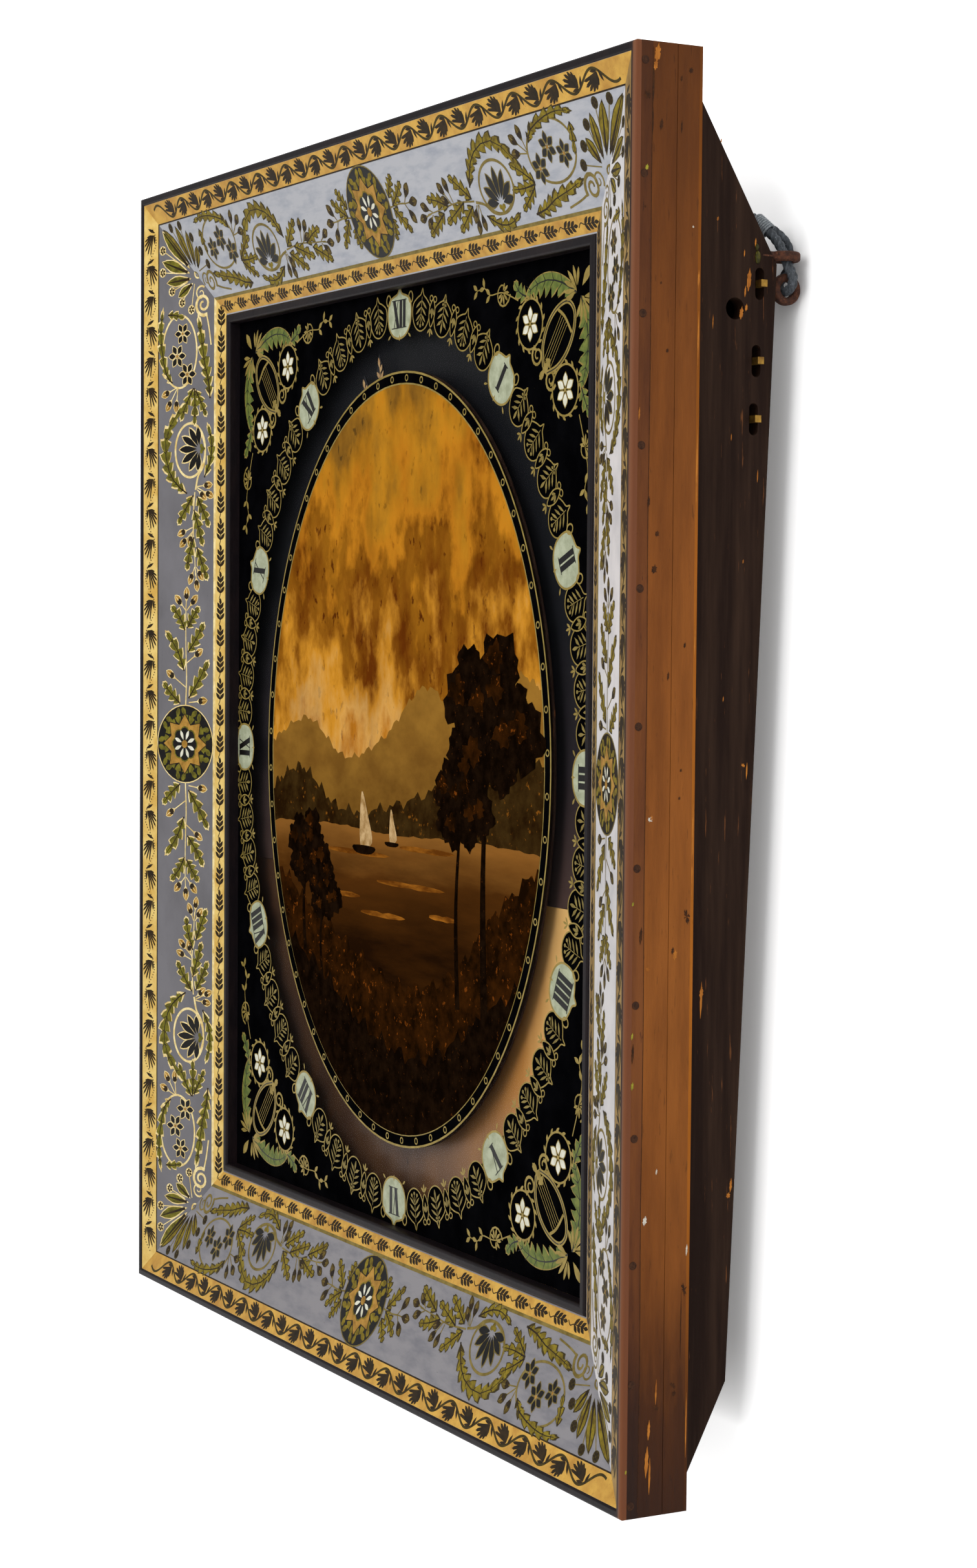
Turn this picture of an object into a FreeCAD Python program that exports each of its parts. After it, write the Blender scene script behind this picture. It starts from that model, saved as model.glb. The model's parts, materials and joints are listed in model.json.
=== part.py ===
"""Chiming wall clock: glazed picture-frame front on a shallow back box.

The front frame opens like a door on the left.  It carries four canted painted glass panels, the dial
glass and the oval picture panel.  The box behind it holds the backing sheets, the hands, the movement
with its going and striking trains, two bells, and three side levers, and hangs from eyes and a cord.
X runs to the right, Y back into the wall and Z up, in millimetres, from the middle of the back board.
"""
import FreeCAD, Part
import math
import os

import Sketcher

# Driving sizes.  Insets run inwards from the frame's outer edge, depths back from its front plane.
SIZES = {
    # frame front
    "frame_width": 877.0,
    "frame_height": 1000.0,
    "bead_width": 6.5,
    "bead_depth": 5.0,
    "panel_front_depth": 1.3,
    "panel_width": 106.7,
    "panel_fall": 37.1,
    "panel_glass": 3.0,
    "parting_depth": 33.4,
    "parting_gap": 0.4,
    "lip_inset": 62.0,
    "rebate_width": 12.2,
    "slab_depth": 53.4,
    "sight_bead_width": 7.8,
    "sight_bead_rise": 2.0,
    "dial_depth": 47.3,
    "dial_glass_thickness": 3.0,
    "glass_edge_gap": 1.0,
    "fillet_width": 7.0,
    "picture_half_width": 252.1,
    "picture_half_height": 313.6,
    "picture_thickness": 1.4,
    "case_frame_width": 56.0,
    # back box
    "box_inset": 13.0,
    "side_thickness": 12.0,
    "box_top_inset": 20.0,
    "box_bottom_inset": 6.0,
    "back_top_depth": 123.8,
    "back_top_inset": 140.0,
    "back_bottom_depth": 92.4,
    "back_bottom_inset": 83.3,
    "back_thickness": 8.0,
    "slope_board_height": 23.0,
    "side_hole_depth": 90.0,
    "side_hole_drop": 32.0,
    "side_hole_radius": 7.5,
    # hinges and fasteners
    "hinge_pin_radius": 2.0,
    "hinge_knuckle_radius": 4.0,
    "hinge_leaf_thickness": 2.0,
    "hinge_leaf_width": 15.0,
    "hinge_length": 60.0,
    "hinge_height": 330.0,
    "hinge_knuckle_gap": 0.4,
    "running_clearance": 0.05,
    "screw_radius": 4.0,
    "screw_head": 2.0,
    "screw_shank": 1.8,
    "screw_length": 16.0,
    "batten_thickness": 12.0,
    "batten_top_gap": 45.0,
    "batten_foot_gap": 20.0,
    # sheets and rails behind the hands
    "sheet_depth": 62.0,
    "sheet_thickness": 1.0,
    "sheet_hole_gap": 1.0,
    "sheet_side_gap": 37.5,
    "sheet_edge_gap": 10.0,
    "seam_height": -99.6,
    "seam_gap": 0.4,
    "rail_thickness": 18.0,
    "rail_height": 20.0,
    "rail_edge": 40.0,
    "stop_pin_x": 216.5,
    "stop_pin_z": -201.7,
    "stop_pin_radius": 1.6,
    "stop_pin_length": 3.4,
    # hanging eyes and cord
    "ring_radius": 11.0,
    "ring_hole": 5.5,
    "ring_thickness": 7.0,
    "ring_round": 2.2,
    "ring_edge": 5.5,
    "ring_stand": 11.85,
    "ring_drop": 16.0,
    "upper_eye_edge": 3.5,
    "upper_eye_stand": 12.2,
    "upper_eye_rise": 6.0,
    "shank_radius": 3.5,
    "shank_length": 9.0,
    "cord_radius": 3.6,
    # side levers
    "lever_thickness": 2.0,
    "lever_half_height": 3.2,
    "lever_reach": 34.0,
    "lever_pivot_radius": 2.0,
    "lever_head_radius": 4.0,
    "lever_head": 1.5,
    "lever_gap": 0.5,
    "tab_width": 5.0,
    "tab_half_height": 2.4,
    "tab_out": 6.0,
    "slot_half_width": 3.6,
    "slot_half_height": 11.0,
    "slot_edge": 13.4,
    "strike_lever_drop": 14.0,
    "chime_lever_drop": 67.0,
    "repeat_lever_drop": 107.0,
    # movement
    "front_plate_depth": 67.0,
    "plate_thickness": 2.0,
    "plate_space": 15.0,
    "plate_half_width": 78.0,
    "plate_top": 86.0,
    "plate_bottom": -54.0,
    "plate_corner_inset": 7.0,
    "pillar_radius": 3.5,
    "pillar_neck": 1.6,
    "pivot_radius": 0.9,
    "end_play": 0.3,
    "wheel_thickness": 1.5,
    "arbor_radius": 1.2,
    "barrel_teeth": 72,
    "barrel_module": 0.8,
    "barrel_radius": 26.0,
    "barrel_height": 7.0,
    "barrel_arbor_radius": 3.0,
    "winding_square": 4.0,
    "strike_barrel_x": 33.0,
    "strike_barrel_z": -20.0,
    "ratchet_radius": 9.0,
    "ratchet_tooth": 1.2,
    "click_distance": 17.0,
    "click_half_width": 1.3,
    "centre_pinion_leaves": 12,
    "centre_teeth": 96,
    "centre_module": 0.5,
    "small_leaves": 8,
    "third_teeth": 88,
    "third_module": 0.45,
    "escape_teeth": 30,
    "escape_radius": 12.4,
    "escape_tooth": 2.4,
    "strike_teeth": 72,
    "warning_teeth": 64,
    "anchor_distance": 19.0,
    "pallet_gap": 1.4,
    "pallet_toe": 2.0,
    "pallet_heel": 3.0,
    "anchor_neck": 2.0,
    "crutch_length": 40.0,
    "crutch_thickness": 1.2,
    "fork_pin_radius": 0.8,
    "suspension_rise": 10.0,
    "suspension_stud_radius": 1.5,
    "suspension_stud_length": 6.5,
    "pendulum_eye_radius": 4.0,
    "pendulum_length": 212.0,
    "pendulum_depth": 90.0,
    "bob_radius": 30.0,
    "bob_thickness": 5.0,
    "rod_radius": 1.2,
    "nut_radius": 3.0,
    "nut_height": 4.0,
    "strike_pin_circle": 14.0,
    "strike_pin_length": 2.25,
    "fly_half_width": 11.0,
    "fly_thickness": 1.0,
    "fly_length": 3.4,
    # motion work and hands
    "motion_module": 0.8,
    "motion_wheel": 1.1,
    "motion_gap": 0.4,
    "stud_radius": 1.2,
    "centre_journal": 1.8,
    "cannon_seat": 2.3,
    "hour_seat_radius": 3.6,
    "hand_hub_radius": 8.0,
    "cannon_teeth": 14,
    "minute_teeth": 42,
    "minute_leaves": 12,
    "hour_teeth": 48,
    "cannon_radius": 2.6,
    "hour_pipe_radius": 4.2,
    "minute_hand_depth": 54.9,
    "hour_hand_depth": 57.4,
    "hand_thickness": 0.8,
    "minute_hand_length": 336.0,
    "hour_hand_length": 328.0,
    "hand_half_width": 3.5,
    "hand_leaf_length": 40.0,
    # bells and hammers
    "large_bell_radius": 36.0,
    "large_bell_x": 150.0,
    "large_bell_z": -30.0,
    "small_bell_radius": 28.0,
    "small_bell_x": 146.0,
    "small_bell_z": 50.0,
    "bell_stud_radius": 3.0,
    "large_hammer_x": 66.0,
    "large_hammer_z": -10.0,
    "small_hammer_x": 70.0,
    "small_hammer_z": 34.0,
    "bell_height": 20.0,
    "bell_wall": 2.0,
    "bell_mouth_depth": 72.0,
    "hammer_gap": 2.0,
    "hammer_head_radius": 4.0,
    "hammer_head_length": 7.0,
}

XZ, YZ, XY = "XZ_Plane", "YZ_Plane", "XY_Plane"
V = FreeCAD.Vector
TINY = 1e-6


class Size:
    """A length with the sheet expression that it comes from."""

    def __init__(self, value, text):
        self.value = float(value)
        self.text = text

    def __float__(self):
        return self.value

    def __add__(self, other):
        other = as_size(other)
        return Size(self.value + other.value, f"({self.text} + {other.text})")

    def __sub__(self, other):
        other = as_size(other)
        return Size(self.value - other.value, f"({self.text} - {other.text})")

    def __mul__(self, other):
        other = as_size(other)
        return Size(self.value * other.value, f"({self.text} * {other.text})")

    def __truediv__(self, other):
        other = as_size(other)
        return Size(self.value / other.value, f"({self.text} / {other.text})")

    def __neg__(self):
        return Size(-self.value, f"(-1 * {self.text})")

    def __radd__(self, other):
        return as_size(other) + self

    def __rsub__(self, other):
        return as_size(other) - self

    def __rmul__(self, other):
        return as_size(other) * self


def as_size(number):
    """The number as a Size, whatever it comes as."""
    if isinstance(number, Size):
        return number
    return Size(number, f"({float(number):.9f})")


class Sheet:
    """The document's table of driving sizes, read by name."""

    def __init__(self, doc):
        self.table = doc.addObject("Spreadsheet::Sheet", "Sizes")
        for row, (name, value) in enumerate(SIZES.items(), start=1):
            self.table.set(f"A{row}", name)
            self.table.set(f"B{row}", str(value))
            self.table.setAlias(f"B{row}", name)
        doc.recompute()

    def __getattr__(self, name):
        return Size(getattr(self.table, name), f"Sizes.{name}")


doc = FreeCAD.newDocument("WallClock")
s = Sheet(doc)
nodes = {}


def add_node(label, shape_object):
    """Keep a finished sub-part under its node name."""
    shape_object.Label = label
    nodes[label] = shape_object


HALF_WIDTH = s.frame_width / 2
HALF_HEIGHT = s.frame_height / 2
BOX_TOP = HALF_HEIGHT - s.box_top_inset
BOX_BOTTOM = s.box_bottom_inset - HALF_HEIGHT
BACK_TOP = HALF_HEIGHT - s.back_top_inset
BACK_BOTTOM = s.back_bottom_inset - HALF_HEIGHT
REAR_LEAN = (s.back_top_depth - s.back_bottom_depth) / (BACK_TOP - BACK_BOTTOM)


def back_depth_at(height):
    """Depth of the back board's rear face at a height."""
    return s.back_bottom_depth + REAR_LEAN * (height - BACK_BOTTOM)


# The wall side of the back board at mid height is the part's origin.
ORIGIN_DEPTH = back_depth_at(as_size(0))


def new_body(name, x=0, depth=0, z=0):
    """A body whose local origin stands at a place in the frame."""
    body = doc.addObject("PartDesign::Body", name)
    place = {"x": as_size(x), "y": as_size(depth) - ORIGIN_DEPTH, "z": as_size(z)}
    for axis, size in place.items():
        body.setExpression(f"Placement.Base.{axis}", size.text)
    return body


def new_sketch(body, plane, offset=0):
    """A sketch on one of the body's planes, moved off it along +Y, +X or +Z."""
    features = body.Origin.OriginFeatures
    support = next(feature for feature in features if feature.Role == plane)
    sketch = body.newObject("Sketcher::SketchObject", "Sketch")
    sketch.AttachmentSupport = [(support, "")]
    sketch.MapMode = "FlatFace"
    along = as_size(offset)
    sketch.setExpression("AttachmentOffset.Base.z", (-along if plane == XZ else along).text)
    return sketch


def fix_point(sketch, geometry, position, x, y):
    """Tie a sketch point to its two sizes."""
    for kind, axis, size in (("DistanceX", -2, as_size(x)), ("DistanceY", -1, as_size(y))):
        if abs(size.value) < TINY:
            sketch.addConstraint(Sketcher.Constraint("PointOnObject", geometry, position, axis))
            continue
        index = sketch.addConstraint(Sketcher.Constraint(kind, -1, 1, geometry, position, size.value))
        sketch.setExpression(f"Constraints[{index}]", size.text)


def draw_polygon(sketch, points):
    """A closed outline whose corners are tied to their sizes."""
    corners = [V(float(x), float(y), 0) for x, y in points]
    count = len(corners)
    lines = [Part.LineSegment(corners[i], corners[(i + 1) % count]) for i in range(count)]
    first = sketch.addGeometry(lines)[0]
    for i in range(count):
        sketch.addConstraint(Sketcher.Constraint("Coincident", first + i, 2, first + (i + 1) % count, 1))
        fix_point(sketch, first + i, 1, *points[i])


def draw_outline(sketch, points):
    """A closed outline worked out by a formula."""
    count = len(points)
    corners = [V(float(x), float(y), 0) for x, y in points]
    sketch.addGeometry([Part.LineSegment(corners[i], corners[(i + 1) % count]) for i in range(count)])


def draw_circle(sketch, x, y, radius):
    """A circle tied to its centre and radius."""
    circle = Part.Circle(V(float(x), float(y), 0), V(0, 0, 1), float(radius))
    geometry = sketch.addGeometry(circle)
    fix_point(sketch, geometry, 3, x, y)
    index = sketch.addConstraint(Sketcher.Constraint("Radius", geometry, float(radius)))
    sketch.setExpression(f"Constraints[{index}]", as_size(radius).text)


def draw_rectangle(sketch, left, right, low, high):
    """An upright rectangle between four sizes."""
    draw_polygon(sketch, [(left, low), (right, low), (right, high), (left, high)])


def draw_slot(sketch, x, y, half_width, half_height):
    """An upright slot with round ends."""
    x, y = float(x), float(y)
    across = float(half_width)
    straight = float(half_height) - across
    left, right = x - across, x + across
    sketch.addGeometry([
        Part.LineSegment(V(left, y - straight, 0), V(left, y + straight, 0)),
        Part.LineSegment(V(right, y - straight, 0), V(right, y + straight, 0)),
        Part.Arc(V(left, y + straight, 0), V(x, y + straight + across, 0), V(right, y + straight, 0)),
        Part.Arc(V(left, y - straight, 0), V(x, y - straight - across, 0), V(right, y - straight, 0)),
    ])


def pad(body, sketch, length, towards_back=True):
    """Pad a sketch by a size."""
    feature = body.newObject("PartDesign::Pad", "Pad")
    feature.Profile = sketch
    feature.setExpression("Length", as_size(length).text)
    on_front = sketch.AttachmentSupport[0][0].Role == XZ
    feature.Reversed = bool(on_front and towards_back)
    body.Tip = feature
    return feature


def pocket_through(body, sketch):
    """Cut a sketch right through, back from its plane, and check that it cut."""
    doc.recompute()
    before = body.Shape.Volume
    feature = body.newObject("PartDesign::Pocket", "Pocket")
    feature.Profile = sketch
    feature.Type = "ThroughAll"
    body.Tip = feature
    doc.recompute()
    if body.Shape.Volume > before - TINY:
        raise RuntimeError(f"{body.Name}: the cut took nothing away")
    return feature


def plate(label, depth, thickness, draw, x=0, z=0):
    """A flat piece facing the front, drawn by draw(sketch)."""
    body = new_body(label, x, depth, z)
    sketch = new_sketch(body, XZ)
    draw(sketch)
    pad(body, sketch, thickness)
    add_node(label, body)
    return body


def group(label, bodies):
    """Several like pieces kept in one node."""
    compound = doc.addObject("Part::Compound", label)
    compound.Links = bodies
    add_node(label, compound)


def rod(name, x, depth, z, direction, radius, length):
    """A round rod from a place along a direction."""
    cylinder = doc.addObject("Part::Cylinder", name)
    cylinder.setExpression("Radius", as_size(radius).text)
    cylinder.setExpression("Height", as_size(length).text)
    base = V(float(x), float(depth - ORIGIN_DEPTH), float(z))
    cylinder.Placement = FreeCAD.Placement(base, FreeCAD.Rotation(V(0, 0, 1), V(*direction)))
    return cylinder


def block(name, x, depth, z):
    """A box between pairs of sizes along X, depth and Z."""
    box = doc.addObject("Part::Box", name)
    for side, (low, high) in (("Length", x), ("Width", depth), ("Height", z)):
        box.setExpression(side, (high - low).text)
    base = (x[0], depth[0] - ORIGIN_DEPTH, z[0])
    for axis, size in zip("xyz", base):
        box.setExpression(f"Placement.Base.{axis}", as_size(size).text)
    return box


# Frame front: canted bars, painted glass and the dial glass

SIGHT_INSET = s.bead_width + s.panel_width
REBATE_INSET = SIGHT_INSET - s.rebate_width
CUT_MARGIN = 1.0
BEAD_ROUND = 0.3
SIDES = ("top", "bottom", "left", "right")


def slope_depth(inset, behind=0):
    """Depth of the canted glass front at an inset, or so far behind it."""
    return s.panel_front_depth + (inset - s.bead_width) * s.panel_fall / s.panel_width + behind


DOOR_SECTION = [
    (0, s.bead_depth),
    (s.bead_width, s.bead_depth),
    (s.bead_width, slope_depth(s.bead_width, s.panel_glass)),
    (SIGHT_INSET, slope_depth(SIGHT_INSET, s.panel_glass)),
    (SIGHT_INSET, s.dial_depth),
    (REBATE_INSET, s.dial_depth),
    (REBATE_INSET, s.slab_depth),
    (s.lip_inset, s.slab_depth),
    (s.lip_inset, s.parting_depth),
    (0, s.parting_depth),
]
PANEL_SECTION = [
    (s.bead_width, slope_depth(s.bead_width)),
    (SIGHT_INSET, slope_depth(SIGHT_INSET)),
    (SIGHT_INSET, slope_depth(SIGHT_INSET, s.panel_glass)),
    (s.bead_width, slope_depth(s.bead_width, s.panel_glass)),
]
CASE_SECTION = [
    (0, s.parting_depth + s.parting_gap),
    (s.case_frame_width, s.parting_depth + s.parting_gap),
    (s.case_frame_width, s.slab_depth),
    (0, s.slab_depth),
]


def mitre_cut(body, upright, sign):
    """Cut both ends of a bar at 45 degrees."""
    reach = HALF_WIDTH / 2
    sketch = new_sketch(body, XZ)
    for end in (1, -1):
        side_x, side_z = (sign, end) if upright else (end, sign)
        out_x, out_z = side_x * (HALF_WIDTH + CUT_MARGIN), side_z * (HALF_HEIGHT + CUT_MARGIN)
        in_x, in_z = side_x * (HALF_WIDTH - reach), side_z * (HALF_HEIGHT - reach)
        third = (in_x, out_z) if upright else (out_x, in_z)
        draw_polygon(sketch, [(out_x, out_z), (in_x, in_z), third])
    pocket_through(body, sketch)


def mitred_bar(label, side, section):
    """One side of a mitred frame; the section's corners are (inset, depth)."""
    upright = side in ("left", "right")
    sign = 1 if side in ("right", "top") else -1
    half = HALF_WIDTH if upright else HALF_HEIGHT
    length = s.frame_height if upright else s.frame_width
    body = new_body(label)
    sketch = new_sketch(body, XY if upright else YZ, -length / 2)
    corners = [(sign * (half - inset), as_size(depth)) for inset, depth in section]
    draw_polygon(sketch, corners if upright else [(depth, across) for across, depth in corners])
    pad(body, sketch, length)
    mitre_cut(body, upright, sign)
    add_node(label, body)


def frame_ring(label, outer, inner, depth, thickness):
    """A rectangular ring between two insets."""
    def draw(sketch):
        for inset in (outer, inner):
            draw_rectangle(sketch, inset - HALF_WIDTH, HALF_WIDTH - inset,
                           inset - HALF_HEIGHT, HALF_HEIGHT - inset)
    return plate(label, depth, thickness, draw)


def round_front(body, radius):
    """Round the edges of a piece's front face."""
    doc.recompute()
    base = body.Tip
    front = base.Shape.BoundBox.YMin
    names = [f"Edge{i}" for i, edge in enumerate(base.Shape.Edges, start=1)
             if edge.BoundBox.YMax < front + TINY]
    feature = body.newObject("PartDesign::Fillet", "Fillet")
    feature.Base = (base, names)
    feature.setExpression("Radius", as_size(radius).text)
    body.Tip = feature


def build_front():
    """The hinged front: bars, glass panels, beads, dial glass and picture panel."""
    for side in SIDES:
        kind = "rail" if side in ("top", "bottom") else "stile"
        mitred_bar(f"door_{kind}_{side}", side, DOOR_SECTION)
        mitred_bar(f"glass_panel_{side}", side, PANEL_SECTION)
    outer = frame_ring("outer_bead", 0, s.bead_width, 0, s.bead_depth)
    round_front(outer, s.bead_width * BEAD_ROUND)
    bead_depth = slope_depth(SIGHT_INSET) - s.sight_bead_rise
    sight = frame_ring("sight_bead", SIGHT_INSET, SIGHT_INSET + s.sight_bead_width,
                       bead_depth, s.dial_depth - bead_depth)
    round_front(sight, s.sight_bead_width * BEAD_ROUND)
    edge = REBATE_INSET + s.glass_edge_gap
    plate("dial_glass", s.dial_depth, s.dial_glass_thickness,
          lambda sketch: draw_rectangle(sketch, edge - HALF_WIDTH, HALF_WIDTH - edge,
                                        edge - HALF_HEIGHT, HALF_HEIGHT - edge))
    glass_back = s.dial_depth + s.dial_glass_thickness
    frame_ring("glazing_fillet", REBATE_INSET, REBATE_INSET + s.fillet_width,
               glass_back, s.slab_depth - glass_back)
    build_picture_panel(glass_back)


def build_picture_panel(depth):
    """The oval panel behind the dial glass."""
    tall, wide = float(s.picture_half_height), float(s.picture_half_width)
    oval = Part.Ellipse(V(0, tall, 0), V(wide, 0, 0), V(0, 0, 0))
    plate("picture_panel", depth, s.picture_thickness, lambda sketch: sketch.addGeometry(oval))


# Case frame, back box and hinges

INNER_X = HALF_WIDTH - s.box_inset - s.side_thickness
OUTER_X = HALF_WIDTH - s.box_inset
BACK_INNER_TOP = s.back_top_depth - s.back_thickness
BACK_INNER_BOTTOM = s.back_bottom_depth - s.back_thickness
TOP_SLOPE = (BACK_TOP - BOX_TOP) / (s.back_top_depth - s.slab_depth)
BOTTOM_SLOPE = (BACK_BOTTOM - BOX_BOTTOM) / (s.back_bottom_depth - s.slab_depth)


def top_height(depth):
    """Height of the sloped top board's outer face at a depth."""
    return BOX_TOP + TOP_SLOPE * (depth - s.slab_depth)


def bottom_height(depth):
    """Height of the sloped bottom board's outer face at a depth."""
    return BOX_BOTTOM + BOTTOM_SLOPE * (depth - s.slab_depth)


LEVER_DROPS = {"strike_lever": s.strike_lever_drop, "chime_lever": s.chime_lever_drop,
               "repeat_lever": s.repeat_lever_drop}
LEVERS = {name: (back_depth_at(BACK_TOP - drop) - s.slot_edge, BACK_TOP - drop)
          for name, drop in LEVER_DROPS.items()}
TOP_JOINT = top_height(BACK_INNER_TOP)
BOTTOM_JOINT = bottom_height(BACK_INNER_BOTTOM)
BACK_LEAN = (BACK_INNER_TOP - BACK_INNER_BOTTOM) / (TOP_JOINT - BOTTOM_JOINT)


def back_inner_at(height):
    """Depth of the back board's inner face at a height."""
    return BACK_INNER_BOTTOM + BACK_LEAN * (height - BOTTOM_JOINT)


def board(label, x, length, corners, draw_more=None):
    """A board across the box or along its side, from its (depth, height) corners."""
    body = new_body(label, x)
    sketch = new_sketch(body, YZ)
    draw_polygon(sketch, corners)
    if draw_more:
        draw_more(sketch)
    pad(body, sketch, length)
    add_node(label, body)
    return body


def draw_side_openings(sketch):
    """The round hole and the lever slots of the right side."""
    draw_circle(sketch, s.side_hole_depth, BACK_TOP - s.side_hole_drop, s.side_hole_radius)
    for depth, height in LEVERS.values():
        draw_slot(sketch, depth, height, s.slot_half_width, s.slot_half_height)


# Each eye's x, depth and height: the ring stands off the back, the upper eye off the top slope.
RING_HEIGHT = BACK_TOP - s.ring_drop
RING = (OUTER_X - s.ring_edge, back_depth_at(RING_HEIGHT) + s.ring_stand, RING_HEIGHT)
SLOPE_DEPTH = s.back_top_depth + s.upper_eye_rise / TOP_SLOPE
UPPER_EYE = (OUTER_X - s.upper_eye_edge, SLOPE_DEPTH + s.upper_eye_stand, BACK_TOP + s.upper_eye_rise)


def cut_socket(body, x, eye_depth, height):
    """Bore the back edge of a side for the shank of an eye."""
    sketch = new_sketch(body, XZ, eye_depth - s.ring_radius - s.shank_length)
    draw_circle(sketch, x, height, s.shank_radius + s.running_clearance)
    pocket_through(body, sketch)


def build_case():
    """The fixed frame behind the front, and the box on its back."""
    for side in SIDES:
        kind = "rail" if side in ("top", "bottom") else "stile"
        mitred_bar(f"case_{kind}_{side}", side, CASE_SECTION)
    side_outline = [
        (s.slab_depth, BOX_TOP),
        (s.back_top_depth, BACK_TOP),
        (s.back_bottom_depth, BACK_BOTTOM),
        (s.slab_depth, BOX_BOTTOM),
    ]
    right = board("box_side_right", INNER_X, s.side_thickness, side_outline, draw_side_openings)
    left = board("box_side_left", -OUTER_X, s.side_thickness, side_outline)
    for x, depth, height in (RING, UPPER_EYE):
        cut_socket(right, x - INNER_X, depth, height)
        cut_socket(left, OUTER_X - x, depth, height)
    board("box_top", -INNER_X, 2 * INNER_X, [
        (s.slab_depth, BOX_TOP),
        (BACK_INNER_TOP, TOP_JOINT),
        (BACK_INNER_TOP - BACK_LEAN * s.slope_board_height, TOP_JOINT - s.slope_board_height),
        (s.slab_depth, BOX_TOP - s.slope_board_height),
    ])
    board("box_bottom", -INNER_X, 2 * INNER_X, [
        (s.slab_depth, BOX_BOTTOM),
        (BACK_INNER_BOTTOM, BOTTOM_JOINT),
        (BACK_INNER_BOTTOM + BACK_LEAN * s.slope_board_height, BOTTOM_JOINT + s.slope_board_height),
        (s.slab_depth, BOX_BOTTOM + s.slope_board_height),
    ])
    back = board("back_board", -INNER_X, 2 * INNER_X, [
        (BACK_INNER_TOP, TOP_JOINT),
        (s.back_top_depth, BACK_TOP),
        (s.back_bottom_depth, BACK_BOTTOM),
        (BACK_INNER_BOTTOM, BOTTOM_JOINT),
    ])
    build_back_screws(back)


SCREWS_PER_EDGE = 4
BATTEN_TOP = BACK_TOP - s.repeat_lever_drop - s.batten_top_gap
BATTEN_FOOT = BOTTOM_JOINT + s.slope_board_height + s.batten_foot_gap
SCREW_X = INNER_X - s.batten_thickness / 2
SCREW_HEIGHTS = [BATTEN_FOOT + (BATTEN_TOP - BATTEN_FOOT) * ((i + 0.5) / SCREWS_PER_EDGE)
                 for i in range(SCREWS_PER_EDGE)]


def build_back_screws(back):
    """Sunk screws that hold the back board to the battens."""
    screws = []
    shank_hole = s.screw_shank + s.running_clearance
    shanks = new_sketch(back, XZ)
    for z in SCREW_HEIGHTS:
        rear = back_depth_at(z) - REAR_LEAN * s.screw_radius - s.running_clearance
        head_start = rear - s.screw_head
        heads = new_sketch(back, XZ, head_start)
        for sign in (1, -1):
            draw_circle(shanks, INNER_X + sign * SCREW_X, z, shank_hole)
            draw_circle(heads, INNER_X + sign * SCREW_X, z, s.screw_radius + s.running_clearance)
            screws.append(turned_body("screw", (sign * SCREW_X, z), [
                (s.screw_shank, rear - s.screw_length, head_start), (s.screw_radius, head_start, rear)]))
        pocket_through(back, heads)
    pocket_through(back, shanks)
    group("back_screws", screws)


def batten(sign):
    """An upright strip in a back corner of the box, which takes the back board's screws."""
    thick = s.batten_thickness
    body = new_body("batten", sign * SCREW_X - thick / 2)
    sketch = new_sketch(body, YZ)
    low, high = back_inner_at(BATTEN_FOOT), back_inner_at(BATTEN_TOP)
    draw_polygon(sketch, [(low - thick, BATTEN_FOOT), (low, BATTEN_FOOT),
                          (high, BATTEN_TOP), (high - thick, BATTEN_TOP)])
    pad(body, sketch, thick)
    pilots = new_sketch(body, XZ)
    for z in SCREW_HEIGHTS:
        draw_circle(pilots, thick / 2, z, s.screw_shank + s.running_clearance)
    pocket_through(body, pilots)
    return body


HINGE_X = -HALF_WIDTH - s.hinge_knuckle_radius - s.hinge_knuckle_gap
HINGE_DEPTH = s.parting_depth + s.parting_gap / 2


def hinge_leaf(towards_back, spans):
    """One leaf of both hinges; spans are its knuckles as shares of the hinge's length."""
    sign = 1 if towards_back else -1
    near = s.hinge_knuckle_radius + s.hinge_knuckle_gap
    leaf_x = (-HALF_WIDTH - s.hinge_leaf_thickness, -HALF_WIDTH)

    def across(first, last):
        ends = (HINGE_DEPTH + sign * first, HINGE_DEPTH + sign * last)
        return ends if towards_back else ends[::-1]

    leaves = []
    for place in (-s.hinge_height, s.hinge_height):
        low = place - s.hinge_length / 2
        pieces = [block("leaf", leaf_x, across(near, near + s.hinge_leaf_width),
                        (low, low + s.hinge_length))]
        for start, end in spans:
            first = low + s.hinge_length * start + s.hinge_knuckle_gap / 2
            last = low + s.hinge_length * end - s.hinge_knuckle_gap / 2
            pieces.append(block("tongue", leaf_x, across(0, near), (first, last)))
            pieces.append(rod("knuckle", HINGE_X, HINGE_DEPTH, first, (0, 0, 1),
                              s.hinge_knuckle_radius, last - first))
            arm_x = (HINGE_X, -HALF_WIDTH - s.hinge_knuckle_gap)
            pieces.append(block("arm", arm_x, across(0, s.hinge_knuckle_radius), (first, last)))
        joined = doc.addObject("Part::MultiFuse", "joined")
        joined.Shapes = pieces
        bore = rod("bore", HINGE_X, HINGE_DEPTH, low, (0, 0, 1),
                   s.hinge_pin_radius + s.running_clearance, s.hinge_length)
        leaf = doc.addObject("Part::Cut", "leaf")
        leaf.Base, leaf.Tool = joined, bore
        leaves.append(leaf)
    return leaves


def build_hinges():
    """Two butt hinges on the left edge."""
    pins = [rod("pin", HINGE_X, HINGE_DEPTH, place - s.hinge_length / 2, (0, 0, 1),
                s.hinge_pin_radius, s.hinge_length)
            for place in (-s.hinge_height, s.hinge_height)]
    third = 1 / 3
    group("hinge_leaves_case", hinge_leaf(True, [(0, third), (2 * third, 1)]) + pins)
    group("hinge_leaves_door", hinge_leaf(False, [(third, 2 * third)]))


# Backing sheets, rails, hanging eyes, cord and side levers

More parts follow.
